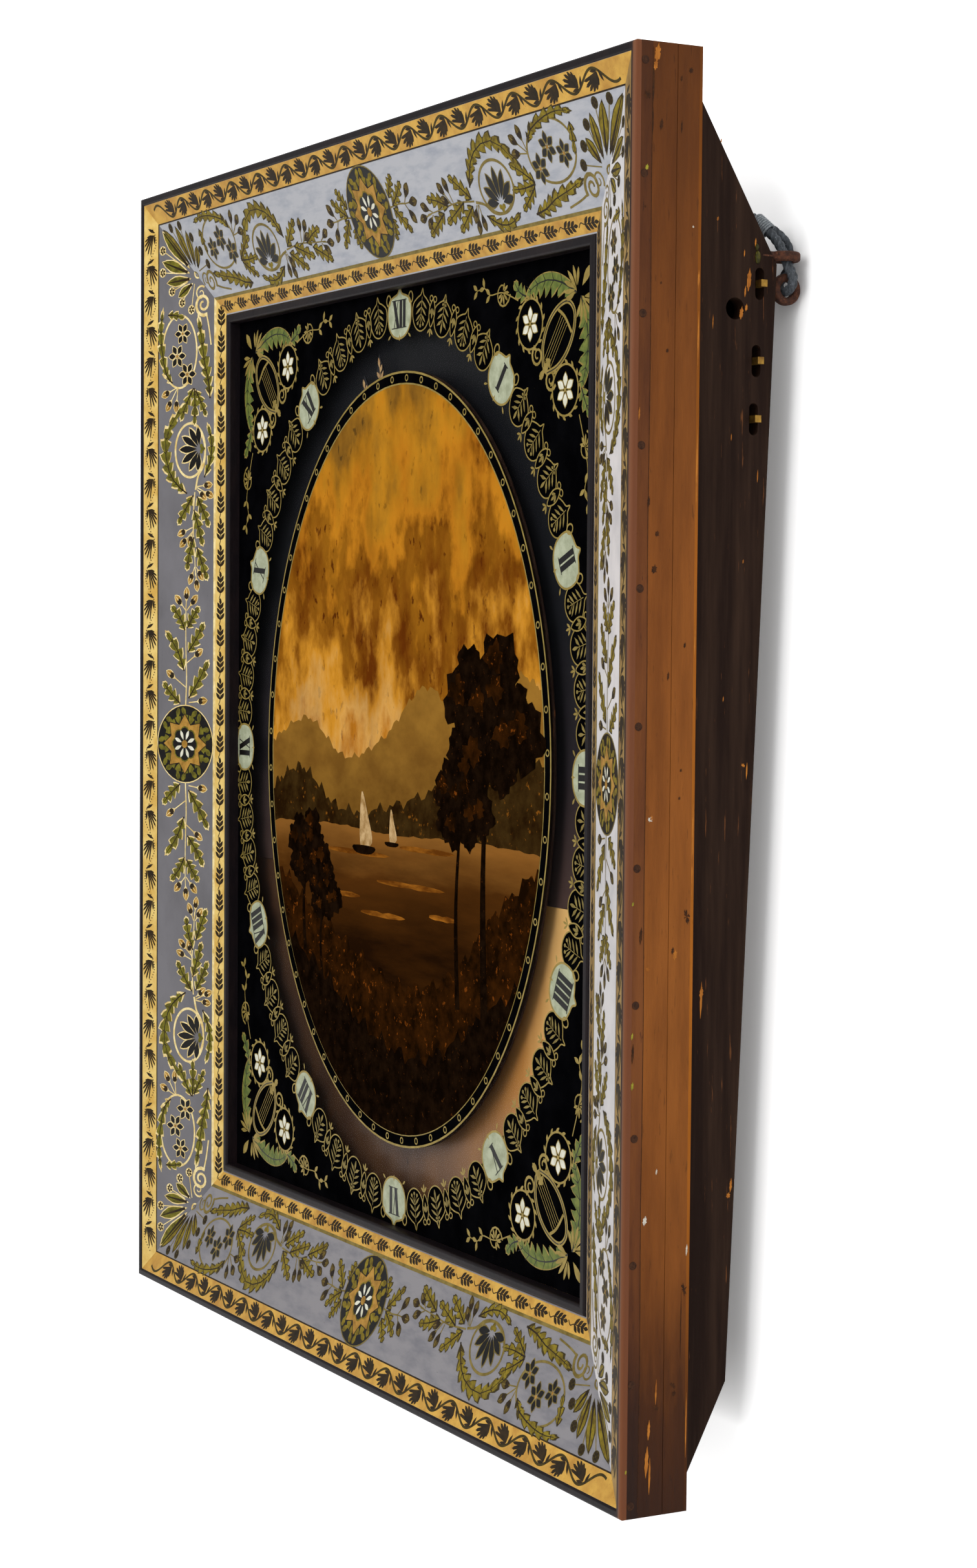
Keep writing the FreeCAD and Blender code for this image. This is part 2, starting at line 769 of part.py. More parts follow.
SHEET_BACK = s.sheet_depth + s.sheet_thickness
SHEET_HALF_WIDTH = INNER_X - s.sheet_side_gap
SHEET_TOP = top_height(SHEET_BACK) - s.slope_board_height - s.sheet_edge_gap
SHEET_BOTTOM = bottom_height(SHEET_BACK) + s.slope_board_height + s.sheet_edge_gap


def build_backing(holes):
    """The two backing sheets behind the hands, the rails that carry them, and the back's battens."""
    def draw_upper(sketch):
        draw_rectangle(sketch, -SHEET_HALF_WIDTH, SHEET_HALF_WIDTH, s.seam_height + s.seam_gap / 2, SHEET_TOP)
        for x, z, radius in holes:
            draw_circle(sketch, x, z, radius)

    plate("backing_sheet_upper", s.sheet_depth, s.sheet_thickness, draw_upper)
    lower = plate("backing_sheet_lower", s.sheet_depth, s.sheet_thickness,
                  lambda sketch: draw_rectangle(sketch, -SHEET_HALF_WIDTH, SHEET_HALF_WIDTH,
                                                SHEET_BOTTOM, s.seam_height - s.seam_gap / 2))
    pin = new_sketch(lower, XZ)
    draw_circle(pin, s.stop_pin_x, s.stop_pin_z, s.stop_pin_radius)
    pad(lower, pin, s.stop_pin_length, towards_back=False)
    half = s.rail_height / 2
    rails = [block("rail", (-INNER_X, INNER_X), (SHEET_BACK, SHEET_BACK + s.rail_thickness),
                   (middle - half, middle + half))
             for middle in (SHEET_TOP - s.rail_edge, s.seam_height, SHEET_BOTTOM + s.rail_edge)]
    group("inner_rails", rails + [batten(1), batten(-1)])


def hanger_eye(name, plane, x, depth, height):
    """A forged eye with its shank; its hole looks along the plane's normal."""
    half = s.ring_thickness / 2
    body = new_body(name, x, depth, height)
    ring = new_sketch(body, plane, -half)
    draw_circle(ring, 0, 0, s.ring_radius)
    draw_circle(ring, 0, 0, s.ring_hole)
    base = pad(body, ring, s.ring_thickness)
    doc.recompute()
    rims = [f"Edge{i}" for i, edge in enumerate(base.Shape.Edges, start=1)
            if isinstance(edge.Curve, Part.Circle)]
    fillet = body.newObject("PartDesign::Fillet", "Fillet")
    fillet.Base = (base, rims)
    fillet.setExpression("Radius", s.ring_round.text)
    body.Tip = fillet
    shank = new_sketch(body, XZ, -s.ring_radius - s.shank_length)
    draw_circle(shank, 0, 0, s.shank_radius)
    pad(body, shank, s.shank_length + (s.ring_radius - s.ring_hole) / 2)
    return body


def build_hangers():
    """Two eyes at each upper back corner, and the cord between them."""
    for side, sign in (("right", 1), ("left", -1)):
        eyes = [hanger_eye("eye", plane, sign * x, depth, height)
                for plane, (x, depth, height) in ((YZ, RING), (XY, UPPER_EYE))]
        group(f"hanger_eyes_{side}", eyes)
    build_cord()


# The right half of the cord's route, from inside the ring to the wall hook: x, depth, height.
CORD_HALF = [(414.5, 135, 343), (425.5, 135, 342), (431, 134.8, 351.5), (423.6, 133.2, 361.5),
             (419, 130.5, 376), (409, 122, 389), (394, 117, 400), (8, 117, 433)]
CORD_ROUTE = CORD_HALF + [(-x, depth, z) for x, depth, z in reversed(CORD_HALF)]
TANGENT_SHARE = 0.45


def rounded_path(points):
    """Straight runs joined by the largest tangent arcs that the runs leave room for."""
    edges = []
    radii = []
    start = points[0]
    for before, corner, after in zip(points, points[1:], points[2:]):
        back, ahead = before - corner, after - corner
        cut = TANGENT_SHARE * min(back.Length, ahead.Length)
        back.normalize()
        ahead.normalize()
        first, last = corner + back * cut, corner + ahead * cut
        turn = math.pi - back.getAngle(ahead)
        radius = cut / math.tan(turn / 2)
        radii.append(round(radius, 1))
        bisector = back + ahead
        bisector.normalize()
        middle = corner + bisector * (math.hypot(radius, cut) - radius)
        edges.append(Part.LineSegment(start, first).toShape())
        edges.append(Part.Arc(first, middle, last).toShape())
        start = last
    edges.append(Part.LineSegment(start, points[-1]).toShape())
    print("cord radii", radii)
    return Part.Wire(edges)


def build_cord():
    """The hanging cord, drawn tight over a hook midway."""
    points = [V(x, depth - ORIGIN_DEPTH.value, z) for x, depth, z in CORD_ROUTE]
    path = rounded_path(points)
    circle = Part.Circle(points[0], points[1] - points[0], s.cord_radius.value)
    tube = path.makePipeShell([Part.Wire([circle.toShape()])], True, False)
    expected = math.pi * s.cord_radius.value ** 2 * path.Length
    print("cord length", round(path.Length), "volume share", round(tube.Volume / expected, 3))
    cord = doc.addObject("Part::Feature", "cord")
    cord.Shape = tube
    add_node("hanging_cord", cord)


def build_levers():
    """Three side levers, each with its tab through a slot, and their pivot screws."""
    tab_start = INNER_X - s.lever_gap
    pivots = []
    for name, (depth, height) in LEVERS.items():
        body = new_body(name, tab_start - s.lever_thickness, depth - s.lever_reach, height)
        bar = new_sketch(body, YZ)
        half, eye = s.lever_half_height, s.lever_head_radius
        far = s.lever_reach + s.tab_width / 2
        draw_polygon(bar, [(-eye, -eye), (eye, -eye), (2 * eye, -half), (far, -half),
                           (far, half), (2 * eye, half), (eye, eye), (-eye, eye)])
        draw_circle(bar, 0, 0, s.lever_pivot_radius + s.running_clearance)
        pad(body, bar, s.lever_thickness)
        tab = new_sketch(body, YZ)
        draw_rectangle(tab, far - s.tab_width, far, -s.tab_half_height, s.tab_half_height)
        pad(body, tab, s.lever_thickness + s.lever_gap + s.side_thickness + s.tab_out)
        add_node(name, body)
        pivots.append(lever_pivot(depth - s.lever_reach, height))
    group("lever_pivots", pivots)


def lever_pivot(depth, height):
    """A shouldered screw on the inside of the right side, through a lever's eye."""
    head_start = INNER_X - s.lever_gap - s.lever_thickness - s.end_play - s.lever_head
    body = new_body("pivot", head_start, depth, height)
    head = new_sketch(body, YZ)
    draw_circle(head, 0, 0, s.lever_head_radius)
    pad(body, head, s.lever_head)
    shaft = new_sketch(body, YZ)
    draw_circle(shaft, 0, 0, s.lever_pivot_radius)
    pad(body, shaft, INNER_X - head_start)
    return body


# Movement: where the plates stand and where each arbor lies

FRONT = s.front_plate_depth
FRONT_INNER = FRONT + s.plate_thickness
REAR_INNER = FRONT_INNER + s.plate_space
REAR = REAR_INNER + s.plate_thickness
PIVOT_HOLE = s.pivot_radius + s.running_clearance
GREAT_WHEEL_DEPTH = FRONT_INNER + s.wheel_thickness
MIDDLE_SHARE = 0.4
MIDDLE_WHEEL_DEPTH = FRONT_INNER + s.plate_space * MIDDLE_SHARE
REAR_WHEEL_DEPTH = REAR_INNER - 2 * s.wheel_thickness - s.end_play
PINION_MARGIN = s.wheel_thickness / 2
MINUTE_LAYER = FRONT - s.motion_gap - s.motion_wheel
HOUR_LAYER = MINUTE_LAYER - s.motion_wheel - 2 * s.motion_gap


def polar(origin, distance, degrees):
    """A place at a distance and a bearing from another."""
    angle = math.radians(degrees)
    return (origin[0] + float(distance) * math.cos(angle), origin[1] + float(distance) * math.sin(angle))


def spacing(module, first, second):
    """Distance between the arbors of two meshed gears."""
    return float(module) * (float(first) + float(second)) / 2


# Bearings between arbors, in degrees from the right
UP = 90
GOING_BARREL_BEARING, STRIKE_WHEEL_BEARING, WARNING_BEARING, MINUTE_STUD_BEARING = 205, 60, 100, 135
CENTRE = (0.0, 0.0)
GREAT_SPACING = spacing(s.barrel_module, s.barrel_teeth, s.centre_pinion_leaves)
GOING_BARREL = polar(CENTRE, GREAT_SPACING, GOING_BARREL_BEARING)
STRIKE_BARREL = (float(s.strike_barrel_x), float(s.strike_barrel_z))
THIRD = polar(CENTRE, spacing(s.centre_module, s.centre_teeth, s.small_leaves), UP)
ESCAPE = polar(THIRD, spacing(s.third_module, s.third_teeth, s.small_leaves), UP)
ANCHOR = polar(ESCAPE, s.anchor_distance, UP)
SUSPENSION = polar(ANCHOR, s.suspension_rise, UP)
STRIKE_WHEEL = polar(STRIKE_BARREL, GREAT_SPACING, STRIKE_WHEEL_BEARING)
WARNING = polar(STRIKE_WHEEL, spacing(s.centre_module, s.strike_teeth, s.small_leaves), WARNING_BEARING)
FLY = polar(WARNING, spacing(s.third_module, s.warning_teeth, s.small_leaves), UP)
MINUTE_STUD = polar(CENTRE, spacing(s.motion_module, s.cannon_teeth, s.minute_teeth), MINUTE_STUD_BEARING)
HOUR_MODULE = s.motion_module * (s.cannon_teeth + s.minute_teeth) / (s.minute_leaves + s.hour_teeth)
CLICK_BEARING = {"going": 200, "strike": -20}
CLICKS = {"going": polar(GOING_BARREL, s.click_distance, CLICK_BEARING["going"]),
          "strike": polar(STRIKE_BARREL, s.click_distance, CLICK_BEARING["strike"])}
BARRELS = {"going": GOING_BARREL, "strike": STRIKE_BARREL}
HAMMERS = {"large": (s.large_hammer_x, s.large_hammer_z), "small": (s.small_hammer_x, s.small_hammer_z)}
BELLS = {"large": (s.large_bell_x, s.large_bell_z, s.large_bell_radius),
         "small": (s.small_bell_x, s.small_bell_z, s.small_bell_radius)}
PILLARS = [(sign * (s.plate_half_width - s.plate_corner_inset), z)
           for sign in (1, -1)
           for z in (s.plate_top - s.plate_corner_inset, s.plate_bottom + s.plate_corner_inset)]


def bearing(start, end):
    """Bearing from one arbor to another, in radians."""
    return math.atan2(end[1] - start[1], end[0] - start[0])


# Teeth are thin, with half a pitch of play, as shares of the pitch and of the module.
TOOTH_ROOT, TOOTH_TIP = 0.17, 0.08
DEDENDUM, ADDENDUM = 1.25, 0.8


def gear_outline(teeth, module, towards, has_tooth):
    """Outline of a gear with a tooth, or a gap, facing its mate."""
    teeth, module = round(float(teeth)), float(module)
    pitch = 2 * math.pi / teeth
    root, tip = module * (teeth / 2 - DEDENDUM), module * (teeth / 2 + ADDENDUM)
    points = []
    for i in range(teeth):
        middle = towards + (i if has_tooth else i + 0.5) * pitch
        for radius, share in ((root, -TOOTH_ROOT), (tip, -TOOTH_TIP), (tip, TOOTH_TIP), (root, TOOTH_ROOT)):
            angle = middle + share * pitch
            points.append((radius * math.cos(angle), radius * math.sin(angle)))
    return points


def add_plate(body, depth, thickness, outline, hole=None):
    """Pad a worked-out outline on a body, with a hole at its middle if it needs one."""
    sketch = new_sketch(body, XZ, depth)
    draw_outline(sketch, outline)
    if hole:
        draw_circle(sketch, 0, 0, hole)
    pad(body, sketch, thickness)


def add_disc(body, depth, thickness, radius, x=0, z=0, towards_back=True):
    """Pad a round boss or pin on a body."""
    sketch = new_sketch(body, XZ, depth)
    draw_circle(sketch, x, z, radius)
    pad(body, sketch, thickness, towards_back)


def turned_body(label, place, steps, bore=0):
    """A body turned about a front-to-back axis; steps are (radius, from depth, to depth)."""
    body = new_body(label, place[0], 0, place[1])
    sketch = new_sketch(body, XY)
    points = [(bore, steps[0][1])]
    for radius, start, end in steps:
        points += [(radius, start), (radius, end)]
    points.append((bore, steps[-1][2]))
    draw_polygon(sketch, points)
    feature = body.newObject("PartDesign::Revolution", "Revolution")
    feature.Profile = sketch
    feature.ReferenceAxis = (sketch, ["V_Axis"])
    feature.Angle = 360
    body.Tip = feature
    return body


def turned(label, place, steps, bore=0):
    """A turned piece that is a node of its own."""
    body = turned_body(label, place, steps, bore)
    add_node(label, body)
    return body


def arbor(label, place, back_end=None):
    """A plain arbor with a pivot in each plate, or running out behind the rear plate."""
    front_shoulder = FRONT_INNER + s.end_play
    steps = [(s.pivot_radius, FRONT, front_shoulder)]
    if back_end:
        steps.append((s.arbor_radius, front_shoulder, back_end))
    else:
        steps.append((s.arbor_radius, front_shoulder, REAR_INNER - s.end_play))
        steps.append((s.pivot_radius, REAR_INNER - s.end_play, REAR))
    return turned(label, place, steps)


def add_wheel(body, depth, teeth, module, towards, hole=None):
    """A wheel whose tooth faces its pinion."""
    add_plate(body, depth, s.wheel_thickness, gear_outline(teeth, module, towards, True), hole)


def add_pinion(body, wheel_depth, leaves, module, towards):
    """A pinion whose gap faces its wheel, a little wider than the wheel."""
    add_plate(body, wheel_depth - PINION_MARGIN, s.wheel_thickness + 2 * PINION_MARGIN,
              gear_outline(leaves, module, towards, False))


def build_plates():
    """The two plates and the pillars that space them and carry them on the backing."""
    plain = [THIRD, ESCAPE, STRIKE_WHEEL, WARNING, FLY, *HAMMERS.values()]

    def draw_common(sketch):
        draw_rectangle(sketch, -s.plate_half_width, s.plate_half_width, s.plate_bottom, s.plate_top)
        for x, z in plain:
            draw_circle(sketch, x, z, PIVOT_HOLE)
        for x, z in PILLARS:
            draw_circle(sketch, x, z, s.pillar_neck + s.running_clearance)

    def draw_front(sketch):
        draw_common(sketch)
        draw_circle(sketch, *ANCHOR, PIVOT_HOLE)
        draw_circle(sketch, *CENTRE, s.centre_journal + s.running_clearance)
        for x, z in BARRELS.values():
            draw_circle(sketch, x, z, s.barrel_arbor_radius + s.running_clearance)

    def draw_rear(sketch):
        draw_common(sketch)
        draw_circle(sketch, *ANCHOR, s.arbor_radius + s.running_clearance)
        for x, z in (CENTRE, *BARRELS.values()):
            draw_circle(sketch, x, z, PIVOT_HOLE)

    front = plate("movement_front_plate", FRONT, s.plate_thickness, draw_front)
    for x, z in (MINUTE_STUD, *CLICKS.values()):
        add_disc(front, 0, FRONT - HOUR_LAYER, s.stud_radius, x, z, towards_back=False)
    rear = plate("movement_rear_plate", REAR_INNER, s.plate_thickness, draw_rear)
    add_disc(rear, s.plate_thickness, s.suspension_stud_length, s.suspension_stud_radius, *SUSPENSION)
    pillars = []
    for place in PILLARS:
        pillars.append(turned_body("pillar", place, [
            (s.pillar_radius, SHEET_BACK, FRONT),
            (s.pillar_neck, FRONT, FRONT_INNER),
            (s.pillar_radius, FRONT_INNER, REAR_INNER),
            (s.pillar_neck, REAR_INNER, REAR),
            (s.pillar_radius, REAR, REAR + s.plate_thickness),
        ]))
    group("movement_pillars", pillars)


def build_barrel(train, mate):
    """A spring barrel with its great wheel, its winding arbor and its click."""
    place = BARRELS[train]
    bore = s.barrel_arbor_radius + s.running_clearance
    gear_end = GREAT_WHEEL_DEPTH + s.wheel_thickness
    drum = turned(f"{train}_barrel", place, [(s.barrel_radius, gear_end, gear_end + s.barrel_height)], bore)
    add_wheel(drum, GREAT_WHEEL_DEPTH, s.barrel_teeth, s.barrel_module, bearing(place, mate), bore)
    shaft = turned(f"{train}_winding_arbor", place, [
        (s.barrel_arbor_radius, MINUTE_LAYER, REAR_INNER - s.end_play),
        (s.pivot_radius, REAR_INNER - s.end_play, REAR),
    ])
    half = float(s.winding_square) / 2
    square = [(-half, -half), (half, -half), (half, half), (-half, half)]
    key_end = s.sheet_depth + s.motion_gap
    add_plate(shaft, key_end, MINUTE_LAYER - key_end, square)
    add_plate(shaft, MINUTE_LAYER, s.motion_wheel, ratchet_outline())
    build_click(train, place)


RATCHET_TEETH = 24
RATCHET_FALL = 0.9


def ratchet_outline():
    """Saw teeth of the winding ratchet."""
    points = []
    tip, root = float(s.ratchet_radius), float(s.ratchet_radius - s.ratchet_tooth)
    for i in range(RATCHET_TEETH):
        angle = 2 * math.pi * i / RATCHET_TEETH
        end = angle + RATCHET_FALL * 2 * math.pi / RATCHET_TEETH
        points.append((tip * math.cos(angle), tip * math.sin(angle)))
        points.append((root * math.cos(end), root * math.sin(end)))
    return points


CLICK_LEAD = 35


def build_click(train, place):
    """The pawl that holds the ratchet, on its stud."""
    pivot = CLICKS[train]
    half = float(s.click_half_width)
    lead = CLICK_LEAD if train == "going" else -CLICK_LEAD
    tip = polar(place, s.ratchet_radius + s.end_play + s.click_half_width, CLICK_BEARING[train] + lead)
    body = new_body(f"{train}_click", pivot[0], 0, pivot[1])
    add_plate(body, MINUTE_LAYER, s.motion_wheel,
              bar_outline((0, 0), (tip[0] - pivot[0], tip[1] - pivot[1]), half, 2 * half),
              s.stud_radius + s.running_clearance)
    add_node(f"{train}_click", body)


def bar_outline(start, end, half, past_start=0):
    """A straight flat bar between two places, running a little past the first."""
    length = math.dist(start, end)
    along = ((end[0] - start[0]) / length, (end[1] - start[1]) / length)
    first = (start[0] - along[0] * past_start, start[1] - along[1] * past_start)
    across = (-along[1] * half, along[0] * half)
    return [(first[0] - across[0], first[1] - across[1]), (end[0] - across[0], end[1] - across[1]),
            (end[0] + across[0], end[1] + across[1]), (first[0] + across[0], first[1] + across[1])]


def build_going_train():
    """Centre arbor, third wheel and escape wheel."""
    centre = turned("centre_arbor", CENTRE, [
        (s.centre_journal, s.minute_hand_depth - s.hand_thickness, FRONT_INNER + s.end_play),
        (s.arbor_radius, FRONT_INNER + s.end_play, REAR_INNER - s.end_play),
        (s.pivot_radius, REAR_INNER - s.end_play, REAR),
    ])
    add_pinion(centre, GREAT_WHEEL_DEPTH, s.centre_pinion_leaves, s.barrel_module,
               bearing(CENTRE, GOING_BARREL))
    add_wheel(centre, REAR_WHEEL_DEPTH, s.centre_teeth, s.centre_module, bearing(CENTRE, THIRD))
    third = arbor("third_wheel", THIRD)
    add_pinion(third, REAR_WHEEL_DEPTH, s.small_leaves, s.centre_module, bearing(THIRD, CENTRE))
    add_wheel(third, MIDDLE_WHEEL_DEPTH, s.third_teeth, s.third_module, bearing(THIRD, ESCAPE))
    escape = arbor("escape_wheel", ESCAPE)
    add_pinion(escape, MIDDLE_WHEEL_DEPTH, s.small_leaves, s.third_module, bearing(ESCAPE, THIRD))
    add_plate(escape, REAR_WHEEL_DEPTH, s.wheel_thickness, escape_outline())


ESCAPE_ROOT, ESCAPE_TIP = 0.3, 0.08


def escape_outline():
    """Pointed teeth of the escape wheel."""
    teeth, points = round(float(s.escape_teeth)), []
    tip, root = float(s.escape_radius), float(s.escape_radius - s.escape_tooth)
    for i in range(teeth):
        for radius, share in ((root, -ESCAPE_ROOT), (tip, -ESCAPE_TIP),
                              (tip, ESCAPE_TIP), (root, ESCAPE_ROOT)):
            angle = 2 * math.pi * (i + share) / teeth
            points.append((radius * math.cos(angle), radius * math.sin(angle)))
    return points


PALLET_BEARING, TOE_TURN, HEEL_TURN = 35, -4, 10


def build_anchor():
    """The anchor over the escape wheel, and the crutch that the pendulum moves."""
    body = arbor("anchor", ANCHOR, REAR + 2 * s.crutch_thickness)
    drop = float(s.anchor_distance)
    inner = s.escape_radius + s.pallet_gap
    tip = polar((0, -drop), inner, PALLET_BEARING)
    toe = polar((0, -drop), inner + s.pallet_toe, PALLET_BEARING + TOE_TURN)
    heel = polar((0, -drop), inner + s.pallet_heel, PALLET_BEARING + HEEL_TURN)
    neck = float(s.arbor_radius + s.anchor_neck)
    half = [(neck, neck), heel, toe, tip, (neck, -neck)]
    outline = half + [(-x, z) for x, z in reversed(half)]
    add_plate(body, REAR_WHEEL_DEPTH, s.wheel_thickness, outline)
    arm_depth = REAR + s.crutch_thickness
    fork = s.rod_radius + s.end_play + s.fork_pin_radius
    half_width = float(fork + s.fork_pin_radius)
    length = float(s.crutch_length)
    arm = [(-half_width, -length - half_width), (half_width, -length - half_width), (half_width, half_width),
           (-half_width, half_width)]
    add_plate(body, arm_depth, s.crutch_thickness, arm)
    reach = s.pendulum_depth + 2 * s.rod_radius - arm_depth
    for sign in (1, -1):
        add_disc(body, arm_depth, reach, s.fork_pin_radius, sign * fork, -s.crutch_length)


BOB_FLAT, BOB_EDGE = 0.5, 0.3


def build_pendulum():
    """The pendulum rod with its eye and rating nut, and the bob."""
    rod_body = new_body("pendulum_rod", SUSPENSION[0], s.pendulum_depth, SUSPENSION[1])
    eye = new_sketch(rod_body, XZ, -s.rod_radius)
    draw_circle(eye, 0, 0, s.pendulum_eye_radius)
    draw_circle(eye, 0, 0, s.suspension_stud_radius + s.running_clearance)
    pad(rod_body, eye, 2 * s.rod_radius)
    end = s.pendulum_length + s.bob_radius + s.nut_height
    shaft = new_sketch(rod_body, XY, -end)
    draw_circle(shaft, 0, 0, s.rod_radius)
    pad(rod_body, shaft, end - s.suspension_stud_radius - s.end_play)
    nut = new_sketch(rod_body, XY, -end)
    draw_circle(nut, 0, 0, s.nut_radius)
    pad(rod_body, nut, s.nut_height)
    add_node("pendulum_rod", rod_body)
    half, radius = s.bob_thickness / 2, s.bob_radius
    bob = new_body("pendulum_bob", SUSPENSION[0], s.pendulum_depth, SUSPENSION[1] - s.pendulum_length)
    sketch = new_sketch(bob, XY)
    draw_polygon(sketch, [(0, -half), (radius * BOB_FLAT, -half), (radius, -half * BOB_EDGE),
                          (radius, half * BOB_EDGE), (radius * BOB_FLAT, half), (0, half)])
    lens = bob.newObject("PartDesign::Revolution", "Revolution")
    lens.Profile = sketch
    lens.ReferenceAxis = (sketch, ["V_Axis"])
    lens.Angle = 360
    bob.Tip = lens
    hole = new_sketch(bob, XY, radius + CUT_MARGIN)
    draw_circle(hole, 0, 0, s.rod_radius + s.running_clearance)
    pocket_through(bob, hole)
    add_node("pendulum_bob", bob)


def build_motion_work():
    """Minute wheel and hour wheel behind the backing, and the two hands before it."""
    wheel = new_body("minute_wheel", MINUTE_STUD[0], 0, MINUTE_STUD[1])
    stud_hole = s.stud_radius + s.running_clearance
    to_centre = bearing(MINUTE_STUD, CENTRE)
    add_plate(wheel, MINUTE_LAYER, s.motion_wheel,
              gear_outline(s.minute_teeth, s.motion_module, to_centre, False), stud_hole)
    add_plate(wheel, HOUR_LAYER, MINUTE_LAYER - HOUR_LAYER,
              gear_outline(s.minute_leaves, HOUR_MODULE, to_centre, True), stud_hole)
    add_node("minute_wheel", wheel)
    bore = s.cannon_radius + s.running_clearance
    seat_end = s.hour_hand_depth + s.hand_thickness
    hour = turned("hour_wheel", CENTRE, [
        (s.hour_seat_radius, s.hour_hand_depth - s.end_play, seat_end),
        (s.hour_pipe_radius, seat_end, HOUR_LAYER + s.motion_wheel),
    ], bore)
    add_plate(hour, HOUR_LAYER, s.motion_wheel,
              gear_outline(s.hour_teeth, HOUR_MODULE, bearing(CENTRE, MINUTE_STUD), False), bore)
    minute_hand = build_hand(s.minute_hand_depth, s.minute_hand_length, s.cannon_seat, MINUTE_HAND_AT)
    group("minute_hand", [minute_hand, build_cannon()])
    hour_hand = build_hand(s.hour_hand_depth, s.hour_hand_length, s.hour_seat_radius, HOUR_HAND_AT)
    add_node("hour_hand", hour_hand)


def build_cannon():
    """The pipe with the cannon pinion, which carries the minute hand and slips on the centre arbor."""
    bore = s.centre_journal + s.running_clearance
    seat_end = s.minute_hand_depth + s.hand_thickness
    cannon = turned_body("cannon", CENTRE, [
        (s.cannon_seat, s.minute_hand_depth - s.end_play, seat_end),
        (s.cannon_radius, seat_end, FRONT - s.end_play),
    ], bore)
    add_plate(cannon, MINUTE_LAYER, s.motion_wheel,
              gear_outline(s.cannon_teeth, s.motion_module, bearing(CENTRE, MINUTE_STUD), True), bore)
    return cannon


MINUTE_HAND_AT, HOUR_HAND_AT = -9.0, -15.0
ARM_START = 0.7
# Leaf tip: how far back from the point, and how wide, as shares of the leaf and of the arm's width
LEAF = ((1, 0.55), (0.85, 1.6), (0.67, 2.4), (0.5, 1.0), (0.37, 1.9), (0.2, 1.1), (0.07, 0.5))


def build_hand(depth, length, seat_radius, degrees):
    """A long flat hand with a leaf tip; degrees run clockwise from twelve."""
    hub = float(s.hand_hub_radius)
    width, reach = float(s.hand_half_width), float(length)
    leaf = float(s.hand_leaf_length)
    right = [(width, hub * ARM_START)] + [(width * share, reach - leaf * back) for back, share in LEAF]
    outline = right + [(0, reach)] + [(-x, z) for x, z in reversed(right)]
    turn = math.radians(-degrees)
    spun = [(x * math.cos(turn) - z * math.sin(turn), x * math.sin(turn) + z * math.cos(turn))
            for x, z in outline]
    body = new_body("hand", 0, depth)
    boss = new_sketch(body, XZ)
    draw_circle(boss, 0, 0, s.hand_hub_radius)
    draw_circle(boss, 0, 0, seat_radius + s.running_clearance)
    pad(body, boss, s.hand_thickness)
    add_plate(body, 0, s.hand_thickness, spun)
    return body


STRIKE_PINS = 8


def build_strike_train():
    """Strike wheel with its lifting pins, warning wheel and fly."""
    strike = arbor("strike_wheel", STRIKE_WHEEL)
    add_pinion(strike, GREAT_WHEEL_DEPTH, s.centre_pinion_leaves, s.barrel_module,
               bearing(STRIKE_WHEEL, STRIKE_BARREL))
    add_wheel(strike, REAR_WHEEL_DEPTH, s.strike_teeth, s.centre_module, bearing(STRIKE_WHEEL, WARNING))
    for i in range(STRIKE_PINS):
        x, z = polar((0, 0), s.strike_pin_circle, 360 / STRIKE_PINS * i)
        add_disc(strike, REAR_WHEEL_DEPTH, s.strike_pin_length, s.fork_pin_radius, x, z)
    warning = arbor("warning_wheel", WARNING)
    add_pinion(warning, REAR_WHEEL_DEPTH, s.small_leaves, s.centre_module, bearing(WARNING, STRIKE_WHEEL))
    add_wheel(warning, MIDDLE_WHEEL_DEPTH, s.warning_teeth, s.third_module, bearing(WARNING, FLY))
    fly = arbor("fly", FLY)
    add_pinion(fly, MIDDLE_WHEEL_DEPTH, s.small_leaves, s.third_module, bearing(FLY, WARNING))
    vane = new_sketch(fly, XZ, FRONT_INNER + 2 * s.end_play)
    draw_rectangle(vane, -s.fly_half_width, s.fly_half_width, -s.fly_thickness / 2, s.fly_thickness / 2)
    pad(fly, vane, s.fly_length)


def build_hammer(size):
    """A hammer on its arbor, resting just off its bell."""
    x, z = (float(value) for value in HAMMERS[size])
    bell_x, bell_z, bell_radius = (float(value) for value in BELLS[size])
    body = arbor(f"{size}_hammer", (x, z))
    head_end = bell_x - bell_radius - float(s.hammer_gap) - x
    head_start = head_end - float(s.hammer_head_length)
    rise = bell_z - z
    add_plate(body, MIDDLE_WHEEL_DEPTH, s.wheel_thickness,
              bar_outline((0, 0), ((head_start + head_end) / 2, rise), float(s.arbor_radius)))
    head = new_sketch(body, YZ, head_start)
    draw_circle(head, MIDDLE_WHEEL_DEPTH + s.wheel_thickness / 2, rise, s.hammer_head_radius)
    pad(body, head, s.hammer_head_length)


BELL_ANGLES = (0, 45, 75)


def bell_curve(radius, height):
    """Three places along a bell's side, from its lip to the edge of its flat crown."""
    return [V(radius * math.cos(angle), height * math.sin(angle), 0)
            for angle in map(math.radians, BELL_ANGLES)]


